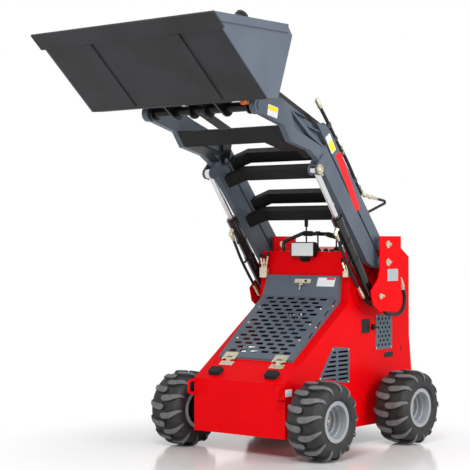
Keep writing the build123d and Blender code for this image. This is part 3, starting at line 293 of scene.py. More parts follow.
def moulded_rubber(name, colour="#1A1A1A", deep="#101010", roughness=0.6, grain_mm=1.2):
    """Moulded rubber or soft plastic with a fine matt grain."""
    material, tree, shader, place = new_material(name)
    grain = add(tree, "ShaderNodeTexNoise", Vector=place, Scale=per_mm(grain_mm), Detail=2.0)
    tone = shade(tree, grain.outputs[0], deep, colour, 0.3, 0.6)
    bump = add(tree, "ShaderNodeBump", Height=grain.outputs[0], Strength=0.5, Distance=0.00015)
    tree.links.new(tone, shader.inputs["Base Color"])
    tree.links.new(bump.outputs[0], shader.inputs["Normal"])
    shader.inputs["Roughness"].default_value = roughness
    shader.inputs["Specular IOR Level"].default_value = 0.2
    return material


def lamp_glass():
    """Pressed glass, half frosted, with a ripple that repeats every 2 pi times 6 mm, about 38 mm."""
    material, tree, shader, place = new_material("ribbed_lamp_glass")
    ribs = add(tree, "ShaderNodeTexWave", {"bands_direction": "X"}, Vector=place, Scale=per_mm(6) / 20)
    bump = add(tree, "ShaderNodeBump", Height=ribs.outputs[0], Strength=0.6, Distance=0.001)
    tree.links.new(bump.outputs[0], shader.inputs["Normal"])
    shader.inputs["Base Color"].default_value = linear("#F6F8F8")
    shader.inputs["Roughness"].default_value = 0.08
    shader.inputs["IOR"].default_value = 1.5
    shader.inputs["Transmission Weight"].default_value = 0.3
    return material


def printed_film(name, colour):
    """Printed vinyl film on a plate: satin, a little uneven in tone as pressed film is."""
    return enamel(name, colour, colour, gloss=0.42, coat=0.0)


finishes = {
    # Gloss enamel of the body: saturated, with a soft sheen, and black painted shade on its inside and under
    # the hood
    "red": body_enamel(),
    # The same red on the towers and small parts
    "trim_red": enamel("red_enamel_trim", "#DD030B", "#D3020A", gloss=0.34, coat=0.0, specular=0.05),
    # Satin blue-grey enamel of the boom, hood and bucket sides
    "slate": enamel("slate_grey_enamel", "#565F6A", "#4C545F", gloss=0.36, coat=0.05, specular=0.2),
    # Satin enamel of the bucket's sheet
    "charcoal": enamel("charcoal_enamel", "#2F3032", "#262728", gloss=0.42, coat=0.0, specular=0.15),
    # Satin black of the crossbars and the plate between the goosenecks
    "satin_black": enamel("satin_black_enamel", "#1B1C1D", "#141516", gloss=0.44, coat=0.0, specular=0.15),
    # Gloss black of cylinders, linkage and step
    "black": enamel("black_enamel", "#131415", "#0D0E0E", gloss=0.24, coat=0.15, specular=0.3),
    # Glossier black of the cylinders' barrels
    "gloss_black": enamel("cylinder_black", "#121314", "#0C0D0D", gloss=0.16, coat=0.5, specular=0.35),
    # Silver wheel paint, fine metal flake
    "silver": enamel("silver_rim_paint", "#94989D", "#868A8F", gloss=0.30, coat=0.15, specular=0.4),
    # The head's cross tube is black, and its ends in the goosenecks are sprayed with the arm
    "head_black": head_enamel(),
    # Ground, hard-chromed rods
    "chrome": hard_chrome(),
    # Passivated zinc on screws, pins and unions
    "zinc": zinc_plate(),
    # Olive chromate on the hydraulic unions
    "olive": zinc_plate("olive_chromate", "#6E7B5A", "#9AA086"),
    # Carbon-black tyre compound
    "tyre": tyre_rubber(),
    # Black moulded rubber of stops, boots and grips
    "rubber": moulded_rubber("moulded_rubber"),
    # Hose cover: cloth-marked synthetic rubber
    "hose": moulded_rubber("hose_rubber", "#232424", "#161717", 0.5, 2.0),
    # Grained black vinyl of the padded rest
    "pad": moulded_rubber("padded_vinyl", "#222222", "#151515", 0.5, 1.6),
    # Black ABS of the lamp's housing and the knobs, and the black painted shade of the side recesses and
    # slots
    "plastic": moulded_rubber("black_abs_and_recess_shade", "#121314", "#0B0C0C", 0.42),
    # Orange polythene of the couplers' dust caps
    "cap": moulded_rubber("orange_polythene_cap", "#E0701E", "#C85A16", 0.5),
    # Ribbed, half frosted glass of the work lamp
    "glass": lamp_glass(),
    # White enamel of the dish behind it
    "reflector": enamel("white_reflector", "#F2F3F4", "#ECEDEE", gloss=0.3, coat=0.2),
    # Printed vinyl of the blank plates, in four colours
    "white_film": printed_film("white_vinyl_film", "#D9DCDE"),
    "grey_film": printed_film("grey_vinyl_film", "#9FA6AC"),
    "yellow_film": printed_film("yellow_vinyl_film", "#E8D21A"),
    "red_film": printed_film("red_vinyl_film", "#E30A16"),
}

FINISH_OF_NODE = {
    "body_shell": "red", "hood_panel": "slate", "hood_screen": "slate", "hood_hinge_leaves": "zinc",
    "hood_hinge_bases": "zinc", "tower_plates": "trim_red", "tower_pins": "zinc", "deck_bumpers": "rubber",
    "work_lamp": "plastic", "lamp_lens": "glass", "handlebar": "black", "control_levers": "plastic",
    "thigh_pad": "pad", "engine_block": "charcoal", "engine_rails": "black", "tie_down_loops": "trim_red",
    "side_vents": "slate", "side_grilles": "slate", "wheel_motors": "black", "platform": "black",
    "platform_ears": "black", "boom_arm": "slate", "boom_cross_plate": "satin_black",
    "boom_crossbars": "satin_black", "upper_arm": "slate", "upper_crossbars": "satin_black",
    "knee_rockers": "black", "front_links": "black", "head_frame": "head_black",
    "lift_barrel": "gloss_black",
    "lift_rod": "chrome", "tilt_barrel": "gloss_black", "tilt_rod": "chrome", "bucket_shell": "charcoal",
    "bucket_sides": "slate", "bucket_cutting_edge": "charcoal", "bucket_wear_strips": "charcoal",
    "bucket_coupler": "black", "tyre": "tyre", "rim": "silver",
}


def finish_of(name):
    """The finish of a frame piece, by the longest name in the table that starts its own."""
    known = [key for key in FINISH_OF_NODE if name == key or name.startswith(key + "_")]
    return finishes[FINISH_OF_NODE[max(known, key=len)]]


for name, piece in nodes.items():
    piece.data.materials.clear()
    piece.data.materials.append(finish_of(name))


# Surfaces worked out as grids. A surface is (points, rows joined end to end, columns joined end to end).

def unit(vector):
    """The vector over its length."""
    return np.asarray(vector, float) / np.linalg.norm(vector)


def grid_faces(rows, columns, ring_rows, ring_columns):
    """Four-cornered faces between each point of a grid and the next row and column, round a ring to its
    start."""
    row, column = np.meshgrid(np.arange(rows - (not ring_rows)), np.arange(columns - (not ring_columns)),
                              indexing="ij")
    below, beside = (row + 1) % rows, (column + 1) % columns
    faces = [row * columns + column, below * columns + column, below * columns + beside,
             row * columns + beside]
    return np.stack(faces, -1).reshape(-1, 4)


def make_piece(name, surfaces, finish, body, crease=35, worn=None, replaces=()):
    """One mesh of surfaces in drawing millimetres, its doubles merged and its faces turned outwards."""
    points, faces, start = [], [], 0
    for grid, ring_rows, ring_columns in surfaces:
        rows, columns = grid.shape[:2]
        points.append(grid.reshape(-1, 3))
        faces.append(grid_faces(rows, columns, ring_rows, ring_columns) + start)
        start += rows * columns
    mesh = bpy.data.meshes.new(name)
    placed = (np.concatenate(points) + (0, DRAWING_SHIFT, 0)) * mm
    mesh.from_pydata(placed.tolist(), [], np.concatenate(faces).tolist())
    if worn is not None:
        mesh.attributes.new("worn", "FLOAT", "POINT").data.foreach_set("value", worn.astype(np.float32))
    shell = bmesh.new()
    shell.from_mesh(mesh)
    bmesh.ops.remove_doubles(shell, verts=shell.verts, dist=0.01 * mm)
    bmesh.ops.recalc_face_normals(shell, faces=shell.faces)
    shell.to_mesh(mesh)
    shell.free()
    mesh.shade_smooth()
    mesh.set_sharp_from_angle(angle=np.radians(crease))
    mesh.materials.append(finishes[finish])
    piece = bpy.data.objects.new(name, mesh)
    bpy.context.collection.objects.link(piece)
    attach(piece, body)
    if replaces:
        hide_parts(*replaces)
    return piece


def mirrored(surfaces):
    """The surfaces on the machine's other side: x to minus x."""
    return [(grid * (-1, 1, 1), ring_rows, ring_columns) for grid, ring_rows, ring_columns in surfaces]


def both_sides(surfaces):
    return surfaces + mirrored(surfaces)


def disc(radius, sides=20):
    """Outline of a disc: radius times cosine and sine of equal steps."""
    angle = np.arange(sides) * 2 * np.pi / sides
    return radius * np.stack([np.cos(angle), np.sin(angle)], 1)


def rounded(width, height, corner, steps=5):
    """Outline of a rectangle with quarter-circle corners: each corner's centre plus its arc."""
    angle = np.arange(4)[:, None] * np.pi / 2 + np.linspace(0, np.pi / 2, steps)
    a, b = width / 2 - corner, height / 2 - corner
    centre = np.array([(a, b), (-a, b), (-a, -b), (a, -b)])[:, None]
    return (centre + corner * np.stack([np.cos(angle), np.sin(angle)], -1)).reshape(-1, 2)


def slab(outline, place, right, up, depth, edge=0.8, foot=-0.4):
    """A plate: its outline straight up from foot to depth less edge, then drawn in by edge, and both faces
    closed to the middle: place + x right + y up + height (right cross up)."""
    outline = np.asarray(outline, float)
    middle = outline.mean(0)
    out = outline - middle
    shrink = 1 - edge / np.linalg.norm(out, axis=1).mean()
    size = np.array([0, 1, 1, shrink, 0])[:, None, None]
    height = np.array([foot, foot, depth - edge, depth, depth])[:, None, None]
    flat = middle + size * out
    right, up = unit(right), unit(up)
    points = np.asarray(place, float) + flat[..., :1] * right + flat[..., 1:] * up
    return points + height * np.cross(right, up), False, True


def turned(profile, start, axis, sides=20):
    """A turned part: start + along axis + radius (cos t u + sin t v); its first and last radius are 0."""
    profile = np.asarray(profile, float)[:, :, None, None]
    a = unit(axis)
    u = unit(np.cross(a, (0, 0, 1) if abs(a[2]) < 0.9 else (1, 0, 0)))
    v = np.cross(a, u)
    angle = (np.arange(sides) * 2 * np.pi / sides)[:, None]
    ring = np.cos(angle) * u + np.sin(angle) * v
    return np.asarray(start, float) + profile[:, 0] * a + profile[:, 1] * ring, False, True


def smooth_path(corners, per_run=6):
    """Catmull-Rom line through the corners: on each run the cubic whose end slopes are half its neighbours'
    step."""
    p = np.asarray(corners, float)
    p = np.concatenate([[2 * p[0] - p[1]], p, [2 * p[-1] - p[-2]]])
    t = np.linspace(0, 1, per_run, endpoint=False)[None, :, None]
    a, b, c, d = p[:-3, None], p[1:-2, None], p[2:-1, None], p[3:, None]
    square, cube = 2 * a - 5 * b + 4 * c - d, 3 * b - a - 3 * c + d
    run = 0.5 * (2 * b + (c - a) * t + square * t ** 2 + cube * t ** 3)
    return np.concatenate([run.reshape(-1, p.shape[1]), p[-2:-1]])


def pipe(corners, radius, sides=12, per_run=6):
    """A round pipe: a ring of the radius square to the line at each point, its zero at the side of the line
    that bends least, and its ends closed to the middle."""
    line = smooth_path(corners, per_run)
    tangent = np.gradient(line, axis=0)
    tangent /= np.linalg.norm(tangent, axis=1)[:, None]
    level = np.linalg.svd(line - line.mean(0))[2][-1]
    u = level - (tangent @ level)[:, None] * tangent
    u /= np.linalg.norm(u, axis=1)[:, None]
    v = np.cross(tangent, u)
    angle = (np.arange(sides) * 2 * np.pi / sides)[:, None]
    ring = radius * (np.cos(angle) * u[:, None] + np.sin(angle) * v[:, None])
    ring = np.concatenate([0 * ring[:1], ring, 0 * ring[-1:]])
    middle = np.concatenate([line[:1], line, line[-1:]])
    return middle[:, None] + ring, False, True


def bolt(place, right, up, size=7.0, washer=True):
    """Hexagon head on a washer, square to right and up."""
    parts = [slab(disc(size, 6), place, right, up, 0.7 * size + 2, edge=1.0)]
    return parts + ([slab(disc(1.5 * size), place, right, up, 1.8)] if washer else [])


def button(place, right, up, radius=6.0):
    """Low domed screw head: a quarter of an ellipse turned about its axis."""
    normal = np.cross(unit(right), unit(up))
    angle = np.linspace(0, np.pi / 2, 5)
    profile = [(-0.5, 0.0), *zip(0.55 * radius * np.sin(angle), radius * np.cos(angle))]
    return turned(profile, place, normal, 14)


# Wheels

LUGS = 13
# half of the carcass from its bead to the crown: place across the tyre, radius
CARCASS = [(98.5, 104.0), (98.5, 121.0), (102.0, 126.0), (104.0, 131.0), (108.5, 137.0), (111.5, 139.0),
           (112.0, 145.0), (113.0, 160.0), (112.5, 174.0), (110.0, 185.0), (104.0, 195.0), (96.0, 203.0),
           (84.0, 207.5), (70.0, 209.5), (35.0, 210.3)]
# one lug from the tread's middle outwards: place across, offset round the tyre, radius of its top, half its
# width
LUG_STATIONS = [(-14.0, 0.0, 228.0, 0.0), (-10.0, -0.6, 228.3, 11.0), (-2.0, -1.0, 228.4, 17.5),
                (14.0, -1.0, 228.4, 20.5), (52.0, 3.0, 227.3, 20.0), (80.0, 12.0, 223.5, 17.0),
                (100.0, 21.0, 212.0, 14.0), (112.5, 27.5, 197.0, 11.5), (117.5, 30.0, 178.0, 9.0),
                (113.0, 31.0, 160.0, 0.0)]
# a lug's section: share of its half width, millimetres added, depth below its top, scuffed or not
LUG_SECTION = np.array([(-1, -4.5, 21, 0), (-1, -1.2, 4.5, 0), (-1, 0.6, 1.0, 0), (-0.78, 0, 0, 1),
                        (0, 0, -0.2, 1), (0.78, 0, 0, 1), (1, -0.6, 1.0, 0), (1, 1.2, 4.5, 0),
                        (1, 4.5, 21, 0)])
# the wheel's fittings, as places across from the tyre's middle and radii
NUT_FACE, HUB_FACE, NUT_CIRCLE, VALVE_CIRCLE = 24.0, 34.0, 31.5, 80.0
WHEEL_NUTS = 5


def lug_grid():
    """Lug as (place across, radius, offset round): its section hangs below the top line along that line's
    normal."""
    across, offset, top, half = smooth_path(LUG_STATIONS, 2).T
    slope_a, slope_r = np.gradient(across), np.gradient(top)
    length = np.hypot(slope_a, slope_r)
    share, added, depth, scuffed = LUG_SECTION.T
    spread = np.clip(half, 0, None)[:, None]
    a = across[:, None] + (slope_r / length)[:, None] * depth
    r = top[:, None] - (slope_a / length)[:, None] * depth
    t = offset[:, None] + share * spread + added * np.clip(spread / 8, 0, 1)
    return a, r, t, scuffed * np.ones_like(a)


def on_wheel(place, a, r, angle):
    """Points at a place across, a radius and an angle up from the front: a is positive outwards."""
    middle_x, y, z = place
    a, r, angle = np.broadcast_arrays(a, r, angle)
    return np.stack([middle_x + np.sign(middle_x) * a, y - r * np.cos(angle), z + r * np.sin(angle)], -1)


def wheel_place(end, side):
    """The middle of a wheel's tyre, in the drawing's millimetres."""
    x = joints[f"wheel_{end}_{side}"]["pos_m"][0]
    return np.array([np.sign(x) * WHEEL_MIDDLE, *joint_at(f"wheel_{end}_{side}")])


def tyre(end, side):
    """Carcass turned about the axle, and two staggered rows of bent lugs carried round it."""
    place = wheel_place(end, side)
    half = np.array(CARCASS)
    ring = np.concatenate([half, half[::-1] * (-1, 1)])
    angle = np.linspace(0, 2 * np.pi, 6 * LUGS, endpoint=False)[:, None]
    surfaces = [(on_wheel(place, ring[:, 0], ring[:, 1], angle), True, True)]
    a, r, t, scuffed = lug_grid()
    step = 2 * np.pi / LUGS
    for k in range(LUGS):
        turn = np.pi / 2 + k * step
        surfaces.append((on_wheel(place, a, r, turn + t / TREAD_RADIUS), False, True))
        surfaces.append((on_wheel(place, -a, r, turn + step / 2 + t / TREAD_RADIUS), False, True))
    carcass_points = len(angle) * len(ring)
    worn = np.concatenate([np.zeros(carcass_points), np.tile(scuffed.ravel(), 2 * LUGS)])
    make_piece(f"tread_{end}_{side}", surfaces, "tyre", f"wheel_{end}_{side}", 40, worn,
               [f"tyre_{end}_{side}"])


def wheel_hardware(end, side):
    """Five wheel nuts round the shaft, its castle nut, and the valve stem on the dish."""
    place = wheel_place(end, side)
    outward = np.sign(place[0])
    right, up = (0, outward, 0), (0, 0, 1)
    surfaces = []
    for k in range(WHEEL_NUTS):
        turn = np.radians(90 + 360 / WHEEL_NUTS * k)
        at = place + (outward * NUT_FACE, NUT_CIRCLE * np.cos(turn), NUT_CIRCLE * np.sin(turn))
        surfaces += [slab(disc(7.5, 6), at, right, up, 9.0, 1.2),
                     turned([(8, 0), (8, 4), (13.5, 4), (14.5, 3), (14.5, 0)], at, (outward, 0, 0), 12)]
    hub = place + (outward * HUB_FACE, 0, 0)
    surfaces += [slab(disc(15.0, 6), hub, right, up, 8.0, 1.5),
                 turned([(7, 0), (7, 8), (12, 8), (13.5, 6.5), (13.5, 0)], hub, (outward, 0, 0), 16)]
    make_piece(f"wheel_nuts_{end}_{side}", surfaces, "zinc", f"wheel_{end}_{side}")
    stem = place + (outward * HUB_FACE, 0, VALVE_CIRCLE)
    valve = [turned([(-4, 0), (-4, 6), (6, 5), (10, 3.6), (28, 3.6), (29, 4.6), (38, 4.6), (40, 0)], stem,
                    (outward, 0, 0.12), 12)]
    make_piece(f"valve_stem_{end}_{side}", valve, "rubber", f"wheel_{end}_{side}")


# Hood hardware

def on_slope(start, end, x, up_by, out_by=0.0):
    """A point on a sloping sheet that rises from start to end: x, a distance up it, and one out of it."""
    up = unit(np.subtract(end, start))
    y, z = np.asarray(start) + up * up_by + np.array([-up[1], up[0]]) * out_by
    return np.array([x, y, z])


def hood_hardware():
    """Screws, the latch plate with its hanging handle and lock, and a blank plate with a red bar."""
    right = (1, 0, 0)
    low_up = (0, *unit(np.subtract(HOOD_BEND, HOOD_FOOT)))
    high_up = (0, *unit(np.subtract(HOOD_HEAD, HOOD_BEND)))
    screws = [button(on_slope(HOOD_FOOT, HOOD_BEND, x, s), right, low_up, 7.0)
              for x, s in ((-237, 307), (-236, 165), (232, 312), (232, 171), (-236, 450), (232, 452))]
    screws += [button(on_slope(HOOD_FOOT, HOOD_BEND, side * 190 + x, 22, 3), right, low_up, 4.5)
               for side in (-1, 1) for x in (-32, 0, 32)]
    for y, z in ((3, 738), (177, 861)):
        screws += both_sides([button((280, y, z), (0, 1, 0), (0, 0, 1), 7.0)])
    make_piece("hood_screws", screws, "zinc", "hood")

    def high(x, s, out_by=0.0):
        return on_slope(HOOD_BEND, HOOD_HEAD, x, s, out_by)

    latch = [slab(rounded(125, 28, 4), high(9, 100), right, high_up, 4, 1.0),
             slab(rounded(40, 20, 4), high(-6, 100, 3.5), right, high_up, 4, 1.0),
             *[button(high(x, 100, 3.6), right, high_up, 4.0) for x in (-46, 64)],
             slab(disc(9), high(9, 76), right, high_up, 10, 1.0),
             slab(rounded(30, 9, 4), high(9, 74, 8), right, high_up, 7, 2.0),
             slab(rounded(8, 40, 3.5), high(7, 56, 8), right, high_up, 6, 2.0)]
    make_piece("hood_latch_plate", latch, "zinc", "hood")
    lock = [slab(disc(8.5), high(34, 100, 3.5), right, high_up, 5, 1.5)]
    make_piece("hood_lock", lock, "black", "hood")
    plate = [slab(rounded(131, 58, 5), high(186.5, 97), right, high_up, 1.2, 0.3)]
    make_piece("hood_blank_plate", plate, "white_film", "hood")
    bar = [slab(rounded(60, 13, 2), high(218, 118, 1.2), right, high_up, 0.5, 0.2)]
    make_piece("hood_plate_bar", bar, "red_film", "hood")
    base = [button(np.array([side * 190 + x, -263, 545.5]), right, (0, 0.82, 0.57), 4.5)
            for side in (-1, 1) for x in (-36, 0, 36)]
    make_piece("hinge_base_screws", base, "zinc", "chassis")


# Body sides and towers

def side_plate_at(x, y_range, z_range, depth, corner=4.0):
    """A rounded plate on a plane of constant x that faces outwards."""
    (y0, y1), (z0, z1) = y_range, z_range
    return slab(rounded(y1 - y0, z1 - z0, corner), (x, (y0 + y1) / 2, (z0 + z1) / 2), (0, 1, 0), (0, 0, 1),
                depth, min(1.0, depth / 2))


def on_side(x, points, depth, edge=0.2):
    """A plate of any outline in (y, z) on a plane of constant x."""
    return slab(points, (x, 0, 0), (0, 1, 0), (0, 0, 1), depth, edge)


def side_hardware():
    """Grab recess with its latch, two slots and the screws of vents and grilles, on both sides; the recess
    and the slots are flat black plates of painted shade.
    """
    side_right, side_up = (0, 1, 0), (0, 0, 1)
    # flat black plates of painted shade where the grab recess and two slots are hollow
    dark = [side_plate_at(BODY_SIDE, (387, 486), (685, 776), 1.2, 10),
            side_plate_at(BODY_SIDE, (837, 847), (552, 590), 1.0, 4.5),
            side_plate_at(BODY_SIDE, (644, 748), (523, 555), 1.2, 8)]
    make_piece("side_recess_shade_plates", both_sides(dark), "plastic", "chassis")
    frame_rim = [pipe([(BODY_SIDE + 1, y, z) for y, z in
                       ((436, 776), (388, 774), (387, 730), (388, 687), (436, 685), (485, 687), (486, 730),
                        (485, 774), (436, 776))], 2.2, 8, 4)]
    make_piece("side_recess_rims", both_sides(frame_rim), "trim_red", "chassis")
    knob = [turned([(-1, 0), (-1, 18), (4, 19), (16, 16), (20, 12), (20, 0)], (BODY_SIDE, 514, 721),
                   (1, 0, 0), 20),
            slab(rounded(40, 10, 4), (BODY_SIDE + 18, 514, 721), side_right, side_up, 12, 2.5)]
    make_piece("side_knobs", both_sides(knob), "plastic", "chassis")
    screws = [button((BODY_SIDE + 3, y, z), side_right, side_up, 5.5)
              for y, z in ((555, 586), (725, 586), (555, 786), (725, 786), (-44, 439), (84, 607), (250, 597),
                           (246, 402), (100, 402))]
    make_piece("side_screws", both_sides(screws), "zinc", "chassis")


def tie_loop(x, y, z, reach, half):
    """A round-bar loop standing off a sheet along y, with bends of 20 mm."""
    way, bend = np.sign(reach), 20.0
    corner = [(y - 6 * way, half), (y + reach - bend * way, half), (y + reach - 6 * way, half - 6),
              (y + reach, half - bend)]
    path = corner + [(along, -up) for along, up in corner[::-1]]
    return pipe([(x, along, z + up) for along, up in path], 8.0, 12, 4)


def tie_loops():
    """Loops forward of the nose's two edges, and the two at the rear corners."""
    nose, rear = BODY_PROFILE[0][0], BODY_PROFILE[-1][0]
    loops = [tie_loop(BODY_SIDE - 9, nose, 381, -62, 38), tie_loop(BODY_SIDE - 30, rear, 215, 45, 30)]
    make_piece("tie_loops", both_sides(loops), "trim_red", "chassis",
               replaces=["tie_down_loops"])


def tower_hardware():
    """Blank plates on tower and nose, and a bolt in each pin's flag."""
    make_piece("tower_blank_plates", [side_plate_at(TOWER_OUTER, (486, 605), (1009, 1083), 1.2)],
               "grey_film", "chassis")
    make_piece("nose_blank_plate", [side_plate_at(BODY_SIDE, (-385, -322), (360, 402), 1.0)], "white_film",
               "chassis")
    bolts = []
    for y, z in (LIFT_PIVOT, joint_at("upper_link"), LIFT_BASE):
        bolts += bolt((TOWER_OUTER + 4, y + 34, z), (0, 1, 0), (0, 0, 1), 6.0)
    make_piece("pin_flag_bolts", both_sides(bolts), "zinc", "chassis")


# Console

def console_hardware():
    """Valve blocks with unions at both ends of the console's front, lever boots and grips."""
    blocks = [slab(rounded(55, 66, 4), (-298, 262, 1057), (1, 0, 0), (0, 0, 1), 34, 2, 0),
              slab(rounded(38, 38, 4), (333, 262, 1054), (1, 0, 0), (0, 0, 1), 30, 2, 0),
              *[turned([(0, 0), (0, 7), (4, 7), (5, 5), (5, 0)], (x, 228, z), (0, -1, 0), 6)
                for x, z in ((-310, 1044), (-288, 1070))]]
    # a union's profile: its nut, neck, second nut and crimped sleeve
    nut = [(-6, 0), (-6, 8.5), (9, 8.5), (11, 6), (22, 6), (24, 9.5), (38, 9.5), (40, 7.5)]
    unions, stubs = [], []
    for start, way, length in (((-314, 246, 1086), (-0.22, 0, 1), 66), ((-286, 246, 1088), (0.2, 0, 1), 78),
                               ((-301, 246, 1088), (-0.02, 0, 1), 60), ((326, 246, 1070), (-0.38, 0, 1), 62),
                               ((340, 246, 1070), (-0.2, 0, 1), 50)):
        unions.append(turned([*nut, (length, 7.5), (length, 0)], start, way, 6))
        tip = np.array(start) + unit(way) * length
        stubs.append(turned([(-4, 0), (-4, 8.5), (22, 8.5), (24, 7), (24, 0)], tip, way, 14))
    make_piece("valve_blocks", blocks + unions, "zinc", "chassis")
    make_piece("union_caps", stubs, "rubber", "chassis")
    boots = []
    for x, y in ((-75, 390), (80, 300), (150, 400)):
        foot = np.array([x, y, 1192 + 0.051 * (y - 285)])
        rings = [(0, 0), (0, 22), (4, 22), (6, 18), (9, 19), (12, 15), (15, 16), (18, 11), (24, 8), (24, 0)]
        boots.append(turned(rings, foot, (0, 0, 1), 20))
    make_piece("lever_boots", boots, "rubber", "chassis")
    grips = []
    for start, end in (((-52, 330, 1303.5), (16, 330, 1302)), ((130, 330, 1297), (206, 330, 1281))):
        grips.append(pipe(np.linspace(start, end, 4), 15.5, 16, 3))
        line = np.linspace(start, end, 9)[1:-1]
        ring = [(-3, 0), (-3, 15), (-1, 17), (1, 17), (3, 15), (3, 0)]
        grips += [turned(ring, at, np.subtract(end, start), 16) for at in line]
    make_piece("handlebar_grips", grips, "rubber", "chassis")


def work_lamp_parts():
    """The reflector inside the housing: a pillow-shaped dish, deepest at its middle, and its bulb."""
    low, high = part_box("lamp_lens")
    size = (np.array(high) - np.array(low)) / mm
    centre = (np.array(high) + np.array(low)) / 2 / mm - (0, DRAWING_SHIFT, 0)
    u, v = np.meshgrid(np.linspace(-1, 1, 17), np.linspace(-1, 1, 13), indexing="ij")
    depth = 20 * (1 - np.abs(u) ** 2.4) ** 0.7 * (1 - np.abs(v) ** 2.4) ** 0.7
    wide, tall = size[0] / 2 - 2, size[2] / 2 - 2
    front = np.stack([centre[0] + u * wide, centre[1] + 4 + depth, centre[2] + v * tall], -1)
    back = front.copy()
    back[..., 1] = centre[1] + 25.5
    edges = [np.stack([front[0], back[0]]), np.stack([front[-1], back[-1]]),
             np.stack([front[:, 0], back[:, 0]]), np.stack([front[:, -1], back[:, -1]])]
    surfaces = [(grid, False, False) for grid in (front, back, *edges)]
    bulb = turned([(0, 0), (0, 9), (6, 9), (9, 6), (14, 5), (16, 0)], (0, centre[1] + 23, centre[2]),
                  (0, -1, 0), 16)
    make_piece("lamp_reflector", [*surfaces, bulb], "reflector", "chassis")


# Boom

def on_beam(x, along, across):
    """A point measured along and across the beams from the lift pivot."""
    c, s = np.cos(BEAM_TURN), np.sin(BEAM_TURN)
    return np.array([x, LIFT_PIVOT[0] - c * along + s * across, LIFT_PIVOT[1] + s * along + c * across])


def boom_plates():
    """A bare red band on the left rear beam, and blank yellow and white plates on beam and gooseneck."""
    band = [on_side(ARM_OUTER, [(-3, 1764), (59, 1785), (259, 1456), (217, 1431)], 0.6)]
    make_piece("beam_red_band", band, "red_film", "upper_link")
    # name: middle, right, up, width, height, where the yellow field lies, its height, body
    neck = ((ARM_OUTER, -605, 1980), (0, 0.984, -0.18), (0, 0.18, 0.984), 93, 62, 14, 26, "boom")
    beam = ((ARM_OUTER, -46, 1829), (0, 0.82, 0.566), (0, -0.566, 0.82), 52, 114, -18, 66, "upper_link")
    spots = {"neck": neck, "beam": beam}
    for name, (place, right, up, width, height, lift, field, body) in spots.items():
        make_piece(f"{name}_blank_plate", [slab(rounded(width, height, 4), place, right, up, 0.8, 0.2)],
                   "white_film", body)
        middle = np.asarray(place) + unit(up) * lift + (0.6, 0, 0)
        make_piece(f"{name}_yellow_field", [slab(rounded(width - 6, field, 2), middle, right, up, 0.6, 0.2)],
                   "yellow_film", body)


def boom_fasteners():
    """The zinc heads of the pins in the lift rods' lugs, each with its centre bolt and its keeper's bolt."""
    y, z = LIFT_EYE
    outer = ARM_OUTER + 12
    heads = [turned([(-1, 0), (-1, 30), (4, 30), (5.5, 28.5), (5.5, 21), (4, 20), (4, 14), (9, 13), (10, 11),
                     (10, 0)], (outer, y, z), (1, 0, 0), 32)]
    heads += bolt((outer, y + 24, z - 30), (0, 1, 0), (0, 0, 1), 6.0)
    make_piece("boom_pin_heads", both_sides(heads), "zinc", "boom")


def cylinder_lines():
    """A line clamped along each lift cylinder from its gland to the union at its foot, and the short stretch
    that leaves the foot."""
    run = [(52, 1275), (79, 1233), (136, 1141), (208, 1047), (276, 966)]
    foot = [(402, 326, 912), (403, 350, 893), (408, 384, 874), (416, 424, 860), (421, 458, 848)]
    lines = [pipe([(ARM_MIDDLE, y, z) for y, z in run], 9.0, 14, 5), pipe(foot, 11.0, 14, 5)]
    axis = unit(LIFT_EYE - LIFT_BASE)
    beside = np.array([-axis[1], axis[0]])
    clamps = []
    for along, reach in ((300, 62), (440, 46)):
        y, z = LIFT_BASE + axis * along
        band = turned([(-9, 31), (-9, 34), (-8, 35), (8, 35), (9, 34), (9, 31)], (ARM_MIDDLE, y, z),
                      (0, *axis), 28)
        clamps.append((band[0], True, True))
        strap = [(ARM_MIDDLE, y + beside[0] * out, z + beside[1] * out) for out in (33, reach)]
        clamps.append(pipe(strap, 7.0, 10, 2))
    ends = []
    for start, end in (((276, 968), (328, 910)), ((56, 1269), (30, 1306)), ((30, 1300), (48, 1330))):
        way = np.subtract(end, start)
        long = np.linalg.norm(way)
        nut = [(-14, 0), (-14, 10), (-2, 12), (long * 0.45, 12), (long * 0.5, 14.5), (long - 3, 14.5),
               (long, 12), (long, 0)]
        ends.append(turned(nut, (ARM_MIDDLE, *start), (0, *way), 6))
    for side, flip in (("left", list), ("right", mirrored)):
        body = f"lift_barrel_{side}"
        make_piece(f"cylinder_line_{side}", flip(lines), "hose", body)
        make_piece(f"cylinder_clamps_{side}", flip(clamps), "black", body)
        make_piece(f"cylinder_unions_{side}", flip(ends), "zinc", body)


def tower_lines():
    """The fixed stretch of each lift hose, clamped inside the tower and led under it to its rear plate."""
    run = [(452, 470, 862), (451, 480, 830), (449, 520, 806), (446, 600, 799), (446, 668, 806),
           (446, 712, 842), (446, 724, 905), (446, 704, 952)]
    make_piece("tower_lines", both_sides([pipe(run, 12.0, 14, 6)]), "hose", "chassis")
    fitting = [slab(rounded(32, 32, 4), (446, 640, 1024), (-1, 0, 0), (0, 0, 1), 12, 1.5),
               pipe([(446, 650, 1024), (446, 672, 1022), (446, 687, 1008), (446, 692, 985)], 10.0, 14, 5),
               turned([(0, 0), (0, 12), (14, 12), (16, 14.5), (34, 14.5), (36, 12.5), (50, 12.5), (50, 0)],
                      (446, 689, 1000), (0, 0.24, -0.97), 6),
               turned([(-12, 0), (-12, 14), (14, 14), (16, 12), (16, 0)], (452, 470, 866),
                      (0, 0.05, -1), 14),
               slab(rounded(26, 30, 4), (464, 484, 864), (0, -1, 0), (0, 0, 1), 12, 1.5)]
    make_piece("tower_line_fittings", both_sides(fitting), "zinc", "chassis")


